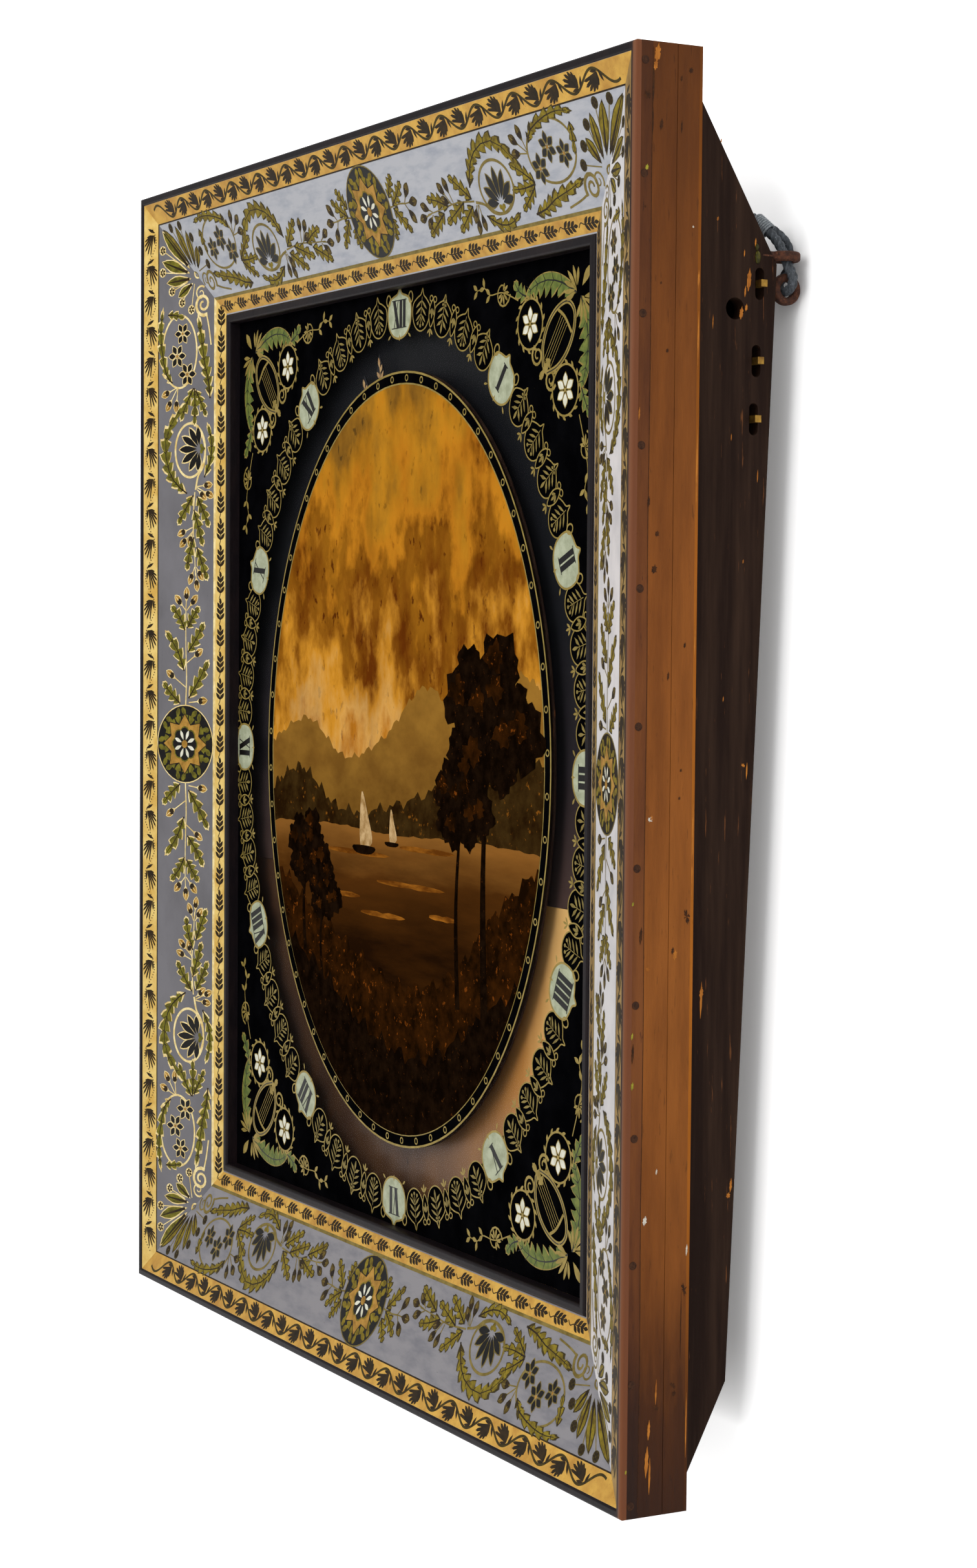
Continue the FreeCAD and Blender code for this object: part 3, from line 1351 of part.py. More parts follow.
def build_bell(size):
    """A bell on a stud from the back board, mouth to the front."""
    x, z, radius = BELLS[size]
    wall, stud = float(s.bell_wall), float(s.bell_stud_radius)
    seat = float(back_inner_at(z) - BACK_LEAN * s.bell_stud_radius - s.bell_mouth_depth)
    body = new_body("bell", x, s.bell_mouth_depth, z)
    sketch = new_sketch(body, XY)
    outer = bell_curve(float(radius), float(s.bell_height))
    inner = bell_curve(float(radius) - wall, float(s.bell_height) - wall)
    sketch.addGeometry([Part.Arc(*outer), Part.Arc(*inner)])
    crown, under = outer[-1].y, inner[-1].y
    corners = [outer[-1], V(stud, crown, 0), V(stud, seat, 0), V(0, seat, 0), V(0, under, 0), inner[-1]]
    sketch.addGeometry([Part.LineSegment(a, b) for a, b in zip(corners, corners[1:])])
    sketch.addGeometry(Part.LineSegment(inner[0], outer[0]))
    shell = body.newObject("PartDesign::Revolution", "Revolution")
    shell.Profile = sketch
    shell.ReferenceAxis = (sketch, ["V_Axis"])
    shell.Angle = 360
    body.Tip = shell
    return body


def build_movement():
    """Everything behind the backing sheets."""
    build_plates()
    build_barrel("going", CENTRE)
    build_barrel("strike", STRIKE_WHEEL)
    build_going_train()
    build_anchor()
    build_pendulum()
    build_motion_work()
    build_strike_train()
    for size in ("large", "small"):
        build_hammer(size)
    group("bells", [build_bell(size) for size in ("large", "small")])


def check_document():
    """Stop if any object failed or any node is empty or broken."""
    doc.recompute()
    failed = [item.Name for item in doc.Objects if {"Invalid", "Error"} & set(item.State)]
    broken = [label for label, item in nodes.items() if item.Shape.isNull() or not item.Shape.isValid()]
    if failed or broken:
        raise RuntimeError(f"failed objects {failed}, broken nodes {broken}")


def export_nodes():
    """Write each node to its own file."""
    os.makedirs("parts", exist_ok=True)
    for label, item in nodes.items():
        item.Shape.exportStep(f"parts/{label}.step")
    print(len(nodes), "nodes written")


build_front()
build_case()
build_hinges()
build_backing([(*CENTRE, s.hour_pipe_radius + s.sheet_hole_gap)]
              + [(x, z, s.winding_square + s.sheet_hole_gap) for x, z in BARRELS.values()])
build_hangers()
build_levers()
build_movement()
check_document()
export_nodes()
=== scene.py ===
"""Chiming wall clock: finishes, painted glass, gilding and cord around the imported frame."""
import json
import logging
import math
from abc import ABC, abstractmethod
from collections.abc import Iterable, Iterator
from contextlib import contextmanager
from dataclasses import dataclass, field
from enum import Enum

import bpy
from mathutils import Matrix, Vector
from mathutils.geometry import interpolate_bezier, normal, tessellate_polygon


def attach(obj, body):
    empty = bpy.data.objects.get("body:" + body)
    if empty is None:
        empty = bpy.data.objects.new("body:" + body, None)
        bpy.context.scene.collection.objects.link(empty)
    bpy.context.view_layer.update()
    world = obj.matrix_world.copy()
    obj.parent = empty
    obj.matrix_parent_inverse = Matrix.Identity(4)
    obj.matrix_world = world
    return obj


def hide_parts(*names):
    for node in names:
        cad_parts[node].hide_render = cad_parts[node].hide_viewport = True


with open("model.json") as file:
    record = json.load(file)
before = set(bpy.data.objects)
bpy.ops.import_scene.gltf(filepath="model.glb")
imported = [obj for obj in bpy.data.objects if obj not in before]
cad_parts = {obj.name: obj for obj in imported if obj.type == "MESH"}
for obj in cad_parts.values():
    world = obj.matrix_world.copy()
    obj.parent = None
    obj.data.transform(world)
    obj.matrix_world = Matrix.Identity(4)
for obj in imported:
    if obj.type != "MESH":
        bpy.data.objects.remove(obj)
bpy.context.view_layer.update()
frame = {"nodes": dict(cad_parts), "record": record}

LOG = logging.getLogger("wall_clock")
MM = 0.001
FRONT_Y = -0.109246
PHOTO_HEIGHT = 2427

# Places in mm: half sizes of frame and box, then insets from the frame's edge and depths behind its front.
HALF_WIDTH = 438.5
HALF_HEIGHT = 500.0
BOX_SIDE = 425.5
PANEL_OUTER = (6.5, 1.3)
PANEL_INNER = (113.2, 38.4)
DIAL_DEPTH = 47.3
PICTURE_RADII = (252.1, 313.6)
CHAPTER_RADII = (303.6, 359.8)
STRIP_JOINT = 14.0
# Body, depth of the front and place of the tip of each hand.
HANDS = (("minute_hand", 54.5, (-51.6, 329.0)), ("hour", 57.3, (-85.6, 314.0)))

# Noise where a mask of no share starts and how far a full share moves it, with half the width of its edge.
MOTTLE_START = 0.68
MOTTLE_SPAN = 0.36
MOTTLE_EDGE = 0.14
FLECK_START = 0.72
FLECK_SPAN = 0.5
# Degrees by which the leaves of a medallion and of a flower's wreath lean.
MEDALLION_LEAN = math.degrees(0.12)
WREATH_LEAN = math.degrees(0.28)

Point = tuple[float, float] | Vector
# Edges of a petal with a round end and of one that is pointed: share of its length and of its width.
ROUND_END = ((0.2, 0.5), (0.45, 0.95), (0.65, 1.0), (0.86, 0.58))
POINTED_END = ((0.18, 0.5), (0.45, 1.0), (0.68, 0.85), (0.87, 0.4))
Colour = tuple[float, float, float, float]


def colour(text: str) -> Colour:
    """Turn a hex sRGB colour into linear values.

    Args:
        text: Colour such as "#8a4a1c".

    Returns:
        Linear red, green, blue and an alpha of 1.
    """
    parts = [int(text[i:i + 2], 16) / 255 for i in (1, 3, 5)]
    red, green, blue = [v / 12.92 if v <= 0.04045 else ((v + 0.055) / 1.055) ** 2.4 for v in parts]
    return red, green, blue, 1.0


def spot(x: float, depth: float, z: float) -> Vector:
    """Turn mm across, behind the frame's front and up into a place in the shared frame.

    Args:
        x: Distance to the right.
        depth: Distance behind the frame's front.
        z: Height.

    Returns:
        The place in metres.
    """
    return Vector((x * MM, FRONT_Y + depth * MM, z * MM))


def add_node(tree: bpy.types.NodeTree, kind: str, inputs: dict | None = None, **settings) -> bpy.types.Node:
    """Add one shader node, set it and link it.

    Args:
        tree: Node tree to add to.
        kind: Blender's name of the node type.
        inputs: Input names or numbers, each with a value or an output socket to link from.
        settings: Attributes of the node.

    Returns:
        The new node.
    """
    node = tree.nodes.new(kind)
    for name, value in settings.items():
        setattr(node, name, value)
    for name, value in (inputs or {}).items():
        if isinstance(value, bpy.types.NodeSocket):
            tree.links.new(value, node.inputs[name])
        else:
            node.inputs[name].default_value = value
    return node


def new_tree(name: str) -> tuple[bpy.types.Material, bpy.types.NodeTree]:
    """Make an empty node material.

    Args:
        name: Name of the material.

    Returns:
        The material and its node tree.
    """
    material = bpy.data.materials.new(name)
    material.use_nodes = True
    material.node_tree.nodes.clear()
    return material, material.node_tree


class Paint(Enum):
    """Paints and leaf metals laid on the glass."""

    GILT = "gilding"
    LINE = "line"
    EDGE = "edge"
    LEAF = "leaf"
    DARK = "shade"
    BLACK = "black"
    OCHRE = "ochre"
    PALE = "pale"
    GREEN = "green"
    WHITE = "white"
    NUT = "nut"


@dataclass(frozen=True)
class Gradient:
    """Colours that change along one axis.

    Args:
        axis: "X", "Y" or "Z".
        stops: Place in mm of each colour, from the lowest up.
        strength: Share of these colours in the mix.
        sharp: Whether one colour ends where the next starts.
        wander: How far the colours wander from their places, in mm.
        blend: How they are mixed in.
    """

    axis: str
    stops: tuple[tuple[float, str], ...]
    strength: float = 0.6
    sharp: bool = False
    wander: float = 0.0
    blend: str = "MIX"


@dataclass(frozen=True)
class Finish:
    """Surface of two colours mottled together, with a third in flecks.

    Args:
        name: The real material.
        base: Main colour.
        second: Colour mottled into it.
        size: Size of the mottling in mm.
        stretch: How much longer the mottling is along X, Y and Z.
        share: Share of the second colour, from 0 to 1.
        fleck: Colour of the flecks, or empty for none.
        fleck_size: Size of the flecks in mm.
        fleck_share: Share of the surface that is fleck.
        roughness: Roughness.
        metallic: Metal share.
        bump: Height of the surface's unevenness in mm.
        specular: Strength of the plain gloss.
        gradients: Colour changes laid over the mottling, one after another.
    """

    name: str
    base: str
    second: str
    size: float = 20.0
    stretch: tuple[float, float, float] = (1.0, 1.0, 1.0)
    share: float = 0.45
    fleck: str = ""
    fleck_size: float = 4.0
    fleck_share: float = 0.12
    roughness: float = 0.45
    metallic: float = 0.0
    bump: float = 0.0
    specular: float = 0.12
    gradients: tuple[Gradient, ...] = ()

    def mottling(self, tree: bpy.types.NodeTree, size: float, low: float,
                 high: float) -> bpy.types.NodeSocket:
        """Add a stretched noise cut to a mask.

        Args:
            tree: Node tree to add to.
            size: Size of the spots in mm.
            low: Noise value where the mask is 0.
            high: Noise value where the mask is 1.

        Returns:
            The mask's output.
        """
        place = add_node(tree, "ShaderNodeTexCoord").outputs["Object"]
        scale = tuple(1 / part for part in self.stretch)
        drawn = add_node(tree, "ShaderNodeMapping", {"Vector": place, "Scale": scale})
        noise = add_node(tree, "ShaderNodeTexNoise", {
            "Vector": drawn.outputs[0], "Scale": 1 / (size * MM), "Detail": 6.0, "Roughness": 0.6})
        mask = add_node(tree, "ShaderNodeMapRange", {
            "Value": noise.outputs[0], "From Min": low, "From Max": high})
        return mask.outputs[0]

    def tint(self, tree: bpy.types.NodeTree) -> bpy.types.NodeSocket:
        """Add the colour.

        Args:
            tree: Node tree to add to.

        Returns:
            The colour's output.
        """
        centre = MOTTLE_START - MOTTLE_SPAN * self.share
        mask = self.mottling(tree, self.size, centre - MOTTLE_EDGE, centre + MOTTLE_EDGE)
        mixed = add_node(tree, "ShaderNodeMix", {
            0: mask, 6: colour(self.base), 7: colour(self.second)}, data_type="RGBA")
        tint = mixed.outputs[2]
        if self.fleck:
            edge = FLECK_START - FLECK_SPAN * self.fleck_share
            flecks = self.mottling(tree, self.fleck_size, edge - 0.02, edge + 0.03)
            tint = add_node(tree, "ShaderNodeMix", {
                0: flecks, 6: tint, 7: colour(self.fleck)}, data_type="RGBA").outputs[2]
        for gradient in self.gradients:
            tint = self.graded(tree, tint, gradient)
        return tint

    def graded(self, tree: bpy.types.NodeTree, tint: bpy.types.NodeSocket,
               gradient: Gradient) -> bpy.types.NodeSocket:
        """Mix a gradient into a colour.

        Args:
            tree: Node tree to add to.
            tint: The colour so far.
            gradient: The gradient.

        Returns:
            The mixed colour's output.
        """
        low, high = gradient.stops[0][0], gradient.stops[-1][0]
        place = add_node(tree, "ShaderNodeTexCoord").outputs["Object"]
        along = add_node(tree, "ShaderNodeSeparateXYZ", {0: place}).outputs[gradient.axis]
        drift = add_node(tree, "ShaderNodeMapRange", {
            "Value": self.mottling(tree, 1.5 * self.size, 0.25, 0.75),
            "To Min": -gradient.wander * MM, "To Max": gradient.wander * MM})
        bent = add_node(tree, "ShaderNodeMath", {0: along, 1: drift.outputs[0]}, operation="ADD")
        share = add_node(tree, "ShaderNodeMapRange", {
            "Value": bent.outputs[0], "From Min": low * MM, "From Max": high * MM})
        ramp = add_node(tree, "ShaderNodeValToRGB", {0: share.outputs[0]})
        ramp.color_ramp.interpolation = "CONSTANT" if gradient.sharp else "LINEAR"
        stops = ramp.color_ramp.elements
        stops.remove(stops[1])
        for index, (level, shade) in enumerate(gradient.stops):
            stop = stops[0] if index == 0 else stops.new((level - low) / (high - low))
            stop.color = colour(shade)
        return add_node(tree, "ShaderNodeMix", {
            0: gradient.strength, 6: tint, 7: ramp.outputs[0]}, data_type="RGBA",
            blend_type=gradient.blend).outputs[2]

    def material(self) -> bpy.types.Material:
        """Make the material.

        Returns:
            The material.
        """
        material, tree = new_tree(self.name)
        inputs = {"Base Color": self.tint(tree), "Metallic": self.metallic, "Roughness": self.roughness,
                  "Specular IOR Level": self.specular}
        if self.bump:
            uneven = self.mottling(tree, self.size / 3, 0.2, 0.8)
            inputs["Normal"] = add_node(tree, "ShaderNodeBump", {
                "Height": uneven, "Distance": self.bump * MM, "Strength": 0.8}).outputs[0]
        shader = add_node(tree, "ShaderNodeBsdfPrincipled", inputs)
        add_node(tree, "ShaderNodeOutputMaterial", {"Surface": shader.outputs[0]})
        return material


@dataclass(frozen=True)
class ClearGlass:
    """Thin clear glass.

    Args:
        name: The real material.
        base: Colour of its reflections' ground.
        alpha: Share of the light that it keeps.
    """

    name: str
    base: str
    alpha: float

    def material(self) -> bpy.types.Material:
        """Make the material.

        Returns:
            The material.
        """
        material, tree = new_tree(self.name)
        shader = add_node(tree, "ShaderNodeBsdfPrincipled", {
            "Base Color": colour(self.base), "Roughness": 0.03, "Alpha": self.alpha,
            "Specular IOR Level": 0.2})
        add_node(tree, "ShaderNodeOutputMaterial", {"Surface": shader.outputs[0]})
        return material


# Depths in mm behind the frame's front, as places along Y.
STRIPS = tuple((1000 * FRONT_Y + depth, shade) for depth, shade in (
    (0.0, "#643a22"), (STRIP_JOINT, "#96571f"), (33.4, "#9e5d22"), (51.0, "#cc7818"), (53.6, "#cc7818")))
# Worn oiled beech of the frame's sides: reddish front strip, two lighter ones, bright back edge, dark ends.
FRAME_WOOD = Finish(
    "oiled_beech", "#8f5424", "#5b3014", 13, (1.0, 1.0, 7.0), 0.45, "#3a2010", 3.2, 0.15, 0.55, bump=0.4,
    gradients=(
        Gradient("Y", STRIPS, 0.5, sharp=True),
        Gradient("Z", (
            (-500, "#5c5450"), (-430, "#7a726c"), (-330, "#e4e0dc"), (-150, "#ffffff"), (150, "#ece8e4"),
            (420, "#b8b2ac"), (500, "#a09890")), 1.0, wander=40.0, blend="MULTIPLY")))
# Near-black stained pine of the box, streaked up and down with paler scuffs.
BOX_WOOD = Finish("stained_pine", "#211510", "#38281f", 12, (1.0, 1.0, 16.0), 0.38, "#6b4328", 2.2, 0.1, 0.65,
                  bump=0.4, specular=0.05)
# Wood bared where the stain chipped off, old stains and cracks, chalky flecks and yellow dabs of paint.
BARE_WOOD = Finish("bare_beech", "#c27a30", "#8f5220", 4, (1.0, 1.0, 3.0), 0.4, roughness=0.7)
STAIN = Finish("ink_stain", "#2e1a0c", "#4a2a12", 4, share=0.4, roughness=0.7)
CHALK = Finish("white_lead_fleck", "#e2dccf", "#b9ab94", 2, share=0.4, roughness=0.7)
YELLOW_DAB = Finish("yellow_paint_dab", "#a9a035", "#7a7424", 3, share=0.4, roughness=0.5)
# Dark iron of the nail heads, sunk in the wood.
NAIL = Finish("nail_iron", "#2c1a12", "#4a2e1c", 1.5, roughness=0.7, metallic=0.1)
# Hardened pine resin round the eyes' roots, yellow-green with a dull shine.
RESIN = Finish("pine_resin", "#2c2a0a", "#5a5518", 3, share=0.4, roughness=0.3)
# Black lacquered beading, rubbed to purple-brown, and worn to the wood on the right side.
BLACK_BEAD = Finish(
    "black_lacquer", "#120d10", "#3a2826", 10, (3.0, 1.0, 3.0), 0.32, bump=0.2,
    gradients=(Gradient("X", (
        (430, "#120d10"), (434.5, "#2a1c18"), (436.2, "#7c5238"), (438.4, "#7a482c")), 0.85),))
# Sheet behind the dial: above the seam the copper is painted slate-dark for its dark reflection and shade,
# warm copper below it, brightest at the lower right with a painted highlight.
COPPER_PAINTED_DARK = Finish(
    "copper_painted_dark_reflection", "#0e0f12", "#18181b", 60, (1.0, 1.0, 2.2), 0.42, roughness=0.4, specular=0.05,
    gradients=(Gradient("Z", (
        (-110, "#5c463f"), (0, "#322c30"), (110, "#1c1d21"), (360, "#111215")), 0.7),))
# Lower sheet: the bright gold towards the right is a painted reflection, the darkening towards the left
# painted shade.
COPPER = Finish(
    "copper_sheet", "#8a5f45", "#b07a4c", 50, (1.0, 1.0, 2.2), 0.42, "#5a3c30", 8.0, 0.1, 0.36, 0.1,
    gradients=(Gradient("X", (
        (-320, "#3c2a22"), (-150, "#20150f"), (0, "#33241a"), (100, "#7d5836"), (190, "#c88a42"),
        (250, "#ffd083"), (320, "#d69a4c")), 0.85, wander=25.0),))
# Lacquered clock brass, a little brown in the hollows.
BRASS = Finish("clock_brass", "#b08a3e", "#8a6626", 18, share=0.4, roughness=0.32, metallic=0.9)
# Bright hinge and lever brass, darkened by handling.
OLD_BRASS = Finish("hinge_brass", "#8f6f30", "#5f4420", 8, roughness=0.42, metallic=0.85)
# Polished clock steel.
STEEL = Finish("clock_steel", "#8d9096", "#6b6d72", 12, share=0.35, roughness=0.3, metallic=0.95)
# Screw steel gone dull.
SCREW = Finish("screw_steel", "#6c6660", "#4a3c30", 3, share=0.4, metallic=0.8)
# Rusted wrought iron of the hanging eyes.
IRON = Finish("wrought_iron", "#3a2822", "#5e3a2a", 3.5, fleck="#7d5036", fleck_size=1.6,
              fleck_share=0.16, roughness=0.72, metallic=0.2, bump=0.5)
# Bell metal, silvery bronze.
BELL = Finish("bell_metal", "#b6a98a", "#8f8058", 25, share=0.4, roughness=0.25, metallic=0.9)
# Blued steel of the hands, nearly black, with gilt leaves at their tips.
BLUED_STEEL = Finish("blued_steel", "#101116", "#1c1d24", 8, share=0.4, roughness=0.4, metallic=0.3)
GILT_LEAF = Finish("gilt_brass", "#c9a671", "#96704a", 4, share=0.35, roughness=0.4, metallic=0.3)
# Tarred hemp cord, blue-grey and greasy, and the paler twine whipped round it.
HEMP = Finish("tarred_hemp", "#2c3034", "#565b61", 1.6, (1.0, 1.0, 2.5), 0.45, "#8a9096", 1.0, 0.12, 0.6,
              bump=0.3, specular=0.3)
TWINE = Finish("waxed_twine", "#9aa0a4", "#5c6267", 1.4, roughness=0.5, specular=0.3)
# The dial's plain glass, clear where nothing is painted.
GLASS = ClearGlass("window_glass", "#0b0d12", 0.03)
# Silvered glass, grey where it mirrors the dark of the room and white where it mirrors the light.
SILVER_LEFT = Finish(
    "silvered_glass_grey", "#676568", "#757377", 55, (1.0, 1.0, 1.6), 0.45, "#504f4d", 2.0, 0.03, 0.3)
SILVER_TOP = Finish(
    "silvered_glass_pale", "#b3b4b9", "#979ba6", 12, (2.2, 1.0, 0.7), 0.26, "#82817e", 1.6, 0.03, 0.3)
SILVER_BOTTOM = Finish(
    "silvered_glass_dull", "#8b888b", "#75747a", 14, (2.2, 1.0, 0.7), 0.3, "#605d59", 1.6, 0.04, 0.3)
SILVER_RIGHT = Finish("silvered_glass_white", "#e4e0e0", "#cac8ca", 40, share=0.4, roughness=0.3)
# Bright leaf gold seen with the light in it, and the same gold seen from its dull side.
GOLD_BRIGHT = Finish("leaf_gold_bright", "#e6c878", "#d0a650", 18, fleck="#b98a3a",
                     fleck_size=1.4, fleck_share=0.07, roughness=0.38)
GOLD_WARM = Finish("leaf_gold_warm", "#d6a94e", "#b48439", 20, fleck="#8a5f22", fleck_size=1.4,
                   fleck_share=0.1, roughness=0.38)
GOLD_DEEP = Finish("leaf_gold_deep", "#a2834c", "#7c6136", 20, roughness=0.42)
# Cream gold outlines on the grey panel, dull olive gold ones on the pale panels.
CREAM_EDGE = Finish("gold_size_cream", "#f0dca2", "#cfae62", 7, share=0.4)
OLIVE_LINE = Finish("gold_size_olive", "#83723a", "#65551f", 8)
# Dark outline of the leaves on the pale panels.
DARK_EDGE = Finish("umber_outline", "#43370f", "#2f2609", 6, roughness=0.5)
# Olive glazes of the leaves, shaded unevenly.
LEAF_GREEN = Finish("olive_glaze", "#77701f", "#4a4412", 6, roughness=0.5)
LEAF_BROWN = Finish("yellow_olive_glaze", "#8a781e", "#5c4c10", 6, roughness=0.5)
# Dark brown drawing of veins, vine and sprigs.
UMBER = Finish("umber_paint", "#1d1406", "#33240c", 6, share=0.4, roughness=0.5)
# Black of medallions, fans, flowers and numerals.
BLACK_PAINT = Finish("lamp_black", "#0c0a0a", "#171411", 10, share=0.4, roughness=0.3)
# Ochre star and acorns.
OCHRE_PAINT = Finish("ochre_glaze", "#b5893c", "#8a6422", 7)
# Brown acorns on the pale panels.
ACORN_PAINT = Finish("acorn_glaze", "#5f4c16", "#3f300b", 5)
# White petals, a little yellowed.
WHITE_PAINT = Finish("lead_white", "#e4e2d2", "#cbc8ae", 7, share=0.4)

SHARED_PAINTS = {Paint.DARK: UMBER, Paint.BLACK: BLACK_PAINT, Paint.OCHRE: OCHRE_PAINT,
                 Paint.PALE: WHITE_PAINT}
LEFT_PAINTS = SHARED_PAINTS | {Paint.GILT: GOLD_BRIGHT, Paint.LINE: CREAM_EDGE, Paint.EDGE: CREAM_EDGE,
                               Paint.LEAF: LEAF_GREEN, Paint.NUT: OCHRE_PAINT}
PALE_PAINTS = SHARED_PAINTS | {Paint.GILT: GOLD_WARM, Paint.LINE: OLIVE_LINE, Paint.EDGE: DARK_EDGE,
                               Paint.LEAF: LEAF_BROWN, Paint.NUT: ACORN_PAINT}
RIGHT_PAINTS = PALE_PAINTS | {Paint.GILT: GOLD_DEEP}

# Black dial ground, dead black without gloss, with a few worn flecks.
DIAL_BLACK = Finish("dial_black", "#030304", "#08080a", 30, share=0.4, fleck="#241f16", fleck_size=1.2,
                    fleck_share=0.05, roughness=0.2, specular=0.0)
# Dull gilding of the dial's lines, with greener gold in the leaves.
DIAL_GOLD = Finish("dial_gold", "#a08a48", "#84702f", 9, roughness=0.42, metallic=0.2)
DIAL_OLIVE = Finish("dial_olive_gold", "#8d7b40", "#6c5c28", 7)
# Green glaze of the corner leaves.
DIAL_GREEN = Finish("verdigris_glaze", "#727a35", "#4a5a22", 7)
# Pale green silver of the shields.
SHIELD = Finish("shield_silver", "#b2b79b", "#959a7e", 8, fleck="#767c60", fleck_size=1.2,
                fleck_share=0.1, roughness=0.4)
DIAL_PAINTS = {
    Paint.BLACK: DIAL_BLACK, Paint.GILT: DIAL_GOLD, Paint.EDGE: DIAL_GOLD, Paint.LINE: DIAL_GOLD,
    Paint.LEAF: DIAL_OLIVE, Paint.GREEN: DIAL_GREEN, Paint.PALE: SHIELD, Paint.DARK: BLACK_PAINT,
    Paint.WHITE: WHITE_PAINT}
# Oil paint of the view: amber sky, hazy hills, water with glints, dark banks and trees, cream sails.
OIL_SKY = Finish(
    "oil_sky", "#d08c22", "#6e3808", 40, (1.0, 1.0, 1.7), 0.46, "#54290a", 9.0, 0.2, 0.4, bump=0.3,
    specular=0.0, gradients=(Gradient("Z", (
        (-120, "#6a3a0e"), (-50, "#a4601c"), (10, "#d8a860"), (60, "#c98a2c"), (110, "#5a2808"),
        (150, "#4e2206"), (195, "#b8741c"), (250, "#a8741e"), (310, "#5e4a20")), 0.62, wander=130.0),))
OIL_HAZE = Finish(
    "oil_haze", "#8a6426", "#5e3e14", 24, (1.6, 1.0, 1.0), 0.5, specular=0.0,
    gradients=(Gradient("Z", ((-90, "#4a2c0c"), (-20, "#7a5420"), (60, "#a5762e")), 0.5, wander=30.0),))
OIL_HILLS = Finish("oil_hills", "#3c2a10", "#221305", 18, share=0.5, fleck="#7a4a14", fleck_size=6.0,
                   fleck_share=0.14, specular=0.0)
OIL_WATER = Finish(
    "oil_water", "#241206", "#4a290c", 20, (6.0, 1.0, 1.0), 0.4, roughness=0.35, specular=0.0,
    gradients=(Gradient("Z", (
        (-210, "#0c0501"), (-150, "#1c0d03"), (-100, "#54300e"), (-62, "#a87030")), 0.55, wander=16.0),))
OIL_GLINT = Finish("oil_glint", "#a8681f", "#5e330c", 8, (5.0, 1.0, 1.0), 0.55, roughness=0.4, specular=0.0)
OIL_BANK = Finish("oil_bank", "#160a02", "#341a05", 14, fleck="#6e380e", fleck_size=5.0,
                  fleck_share=0.16, specular=0.0)
OIL_SHADE = Finish("oil_shade", "#0b0502", "#1c1007", 12, share=0.4, fleck="#40220a", fleck_size=4.0,
                   fleck_share=0.12, roughness=0.4, specular=0.0)
OIL_SAIL = Finish("oil_sail", "#c9a878", "#94703e", 8, specular=0.0)
PICTURE_PAINTS = {Paint.PALE: OIL_SKY, Paint.OCHRE: OIL_HAZE, Paint.LEAF: OIL_HILLS, Paint.LINE: OIL_WATER,
                  Paint.GILT: OIL_GLINT, Paint.GREEN: OIL_BANK, Paint.DARK: OIL_SHADE, Paint.WHITE: OIL_SAIL}
# Gilt sprigs on the hands, and the marks of wear on the sides.
HAND_PAINTS = {Paint.GILT: GILT_LEAF}
WEAR_PAINTS = {Paint.OCHRE: BARE_WOOD, Paint.DARK: STAIN, Paint.WHITE: CHALK, Paint.GREEN: YELLOW_DAB}

SLOT_FINISHES = {
    "oak_frame": FRAME_WOOD, "painted_glass": SILVER_TOP, "black_bead": BLACK_BEAD, "dial_glass": GLASS,
    "picture": BOX_WOOD, "dark_wood": BOX_WOOD, "copper_sheet": COPPER, "hinge_brass": OLD_BRASS,
    "screw_steel": SCREW, "wrought_iron": IRON, "cord": HEMP, "lever_brass": OLD_BRASS, "clock_brass": BRASS,
    "clock_steel": STEEL, "gilt_hand": BLUED_STEEL, "bell_metal": BELL}
NODE_FINISHES = {
    "glass_panel_left": SILVER_LEFT, "glass_panel_right": SILVER_RIGHT, "glass_panel_bottom": SILVER_BOTTOM,
    "backing_sheet_upper": COPPER_PAINTED_DARK}


@dataclass
class Paints:
    """Materials made once per finish.

    Args:
        made: Material of each finish so far.
    """

    made: dict[Finish | ClearGlass, bpy.types.Material] = field(default_factory=dict)

    def of(self, finish: Finish | ClearGlass) -> bpy.types.Material:
        """Give a finish's material.

        Args:
            finish: The finish.

        Returns:
            Its material.
        """
        if finish not in self.made:
            self.made[finish] = finish.material()
        return self.made[finish]

    def coat_frame(self) -> None:
        """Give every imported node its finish."""
        for entry in frame["record"]["subparts"]:
            name = entry["node"]
            data = frame["nodes"][name].data
            data.materials.clear()
            data.materials.append(self.of(NODE_FINISHES.get(name, SLOT_FINISHES[entry["material_slot"]])))


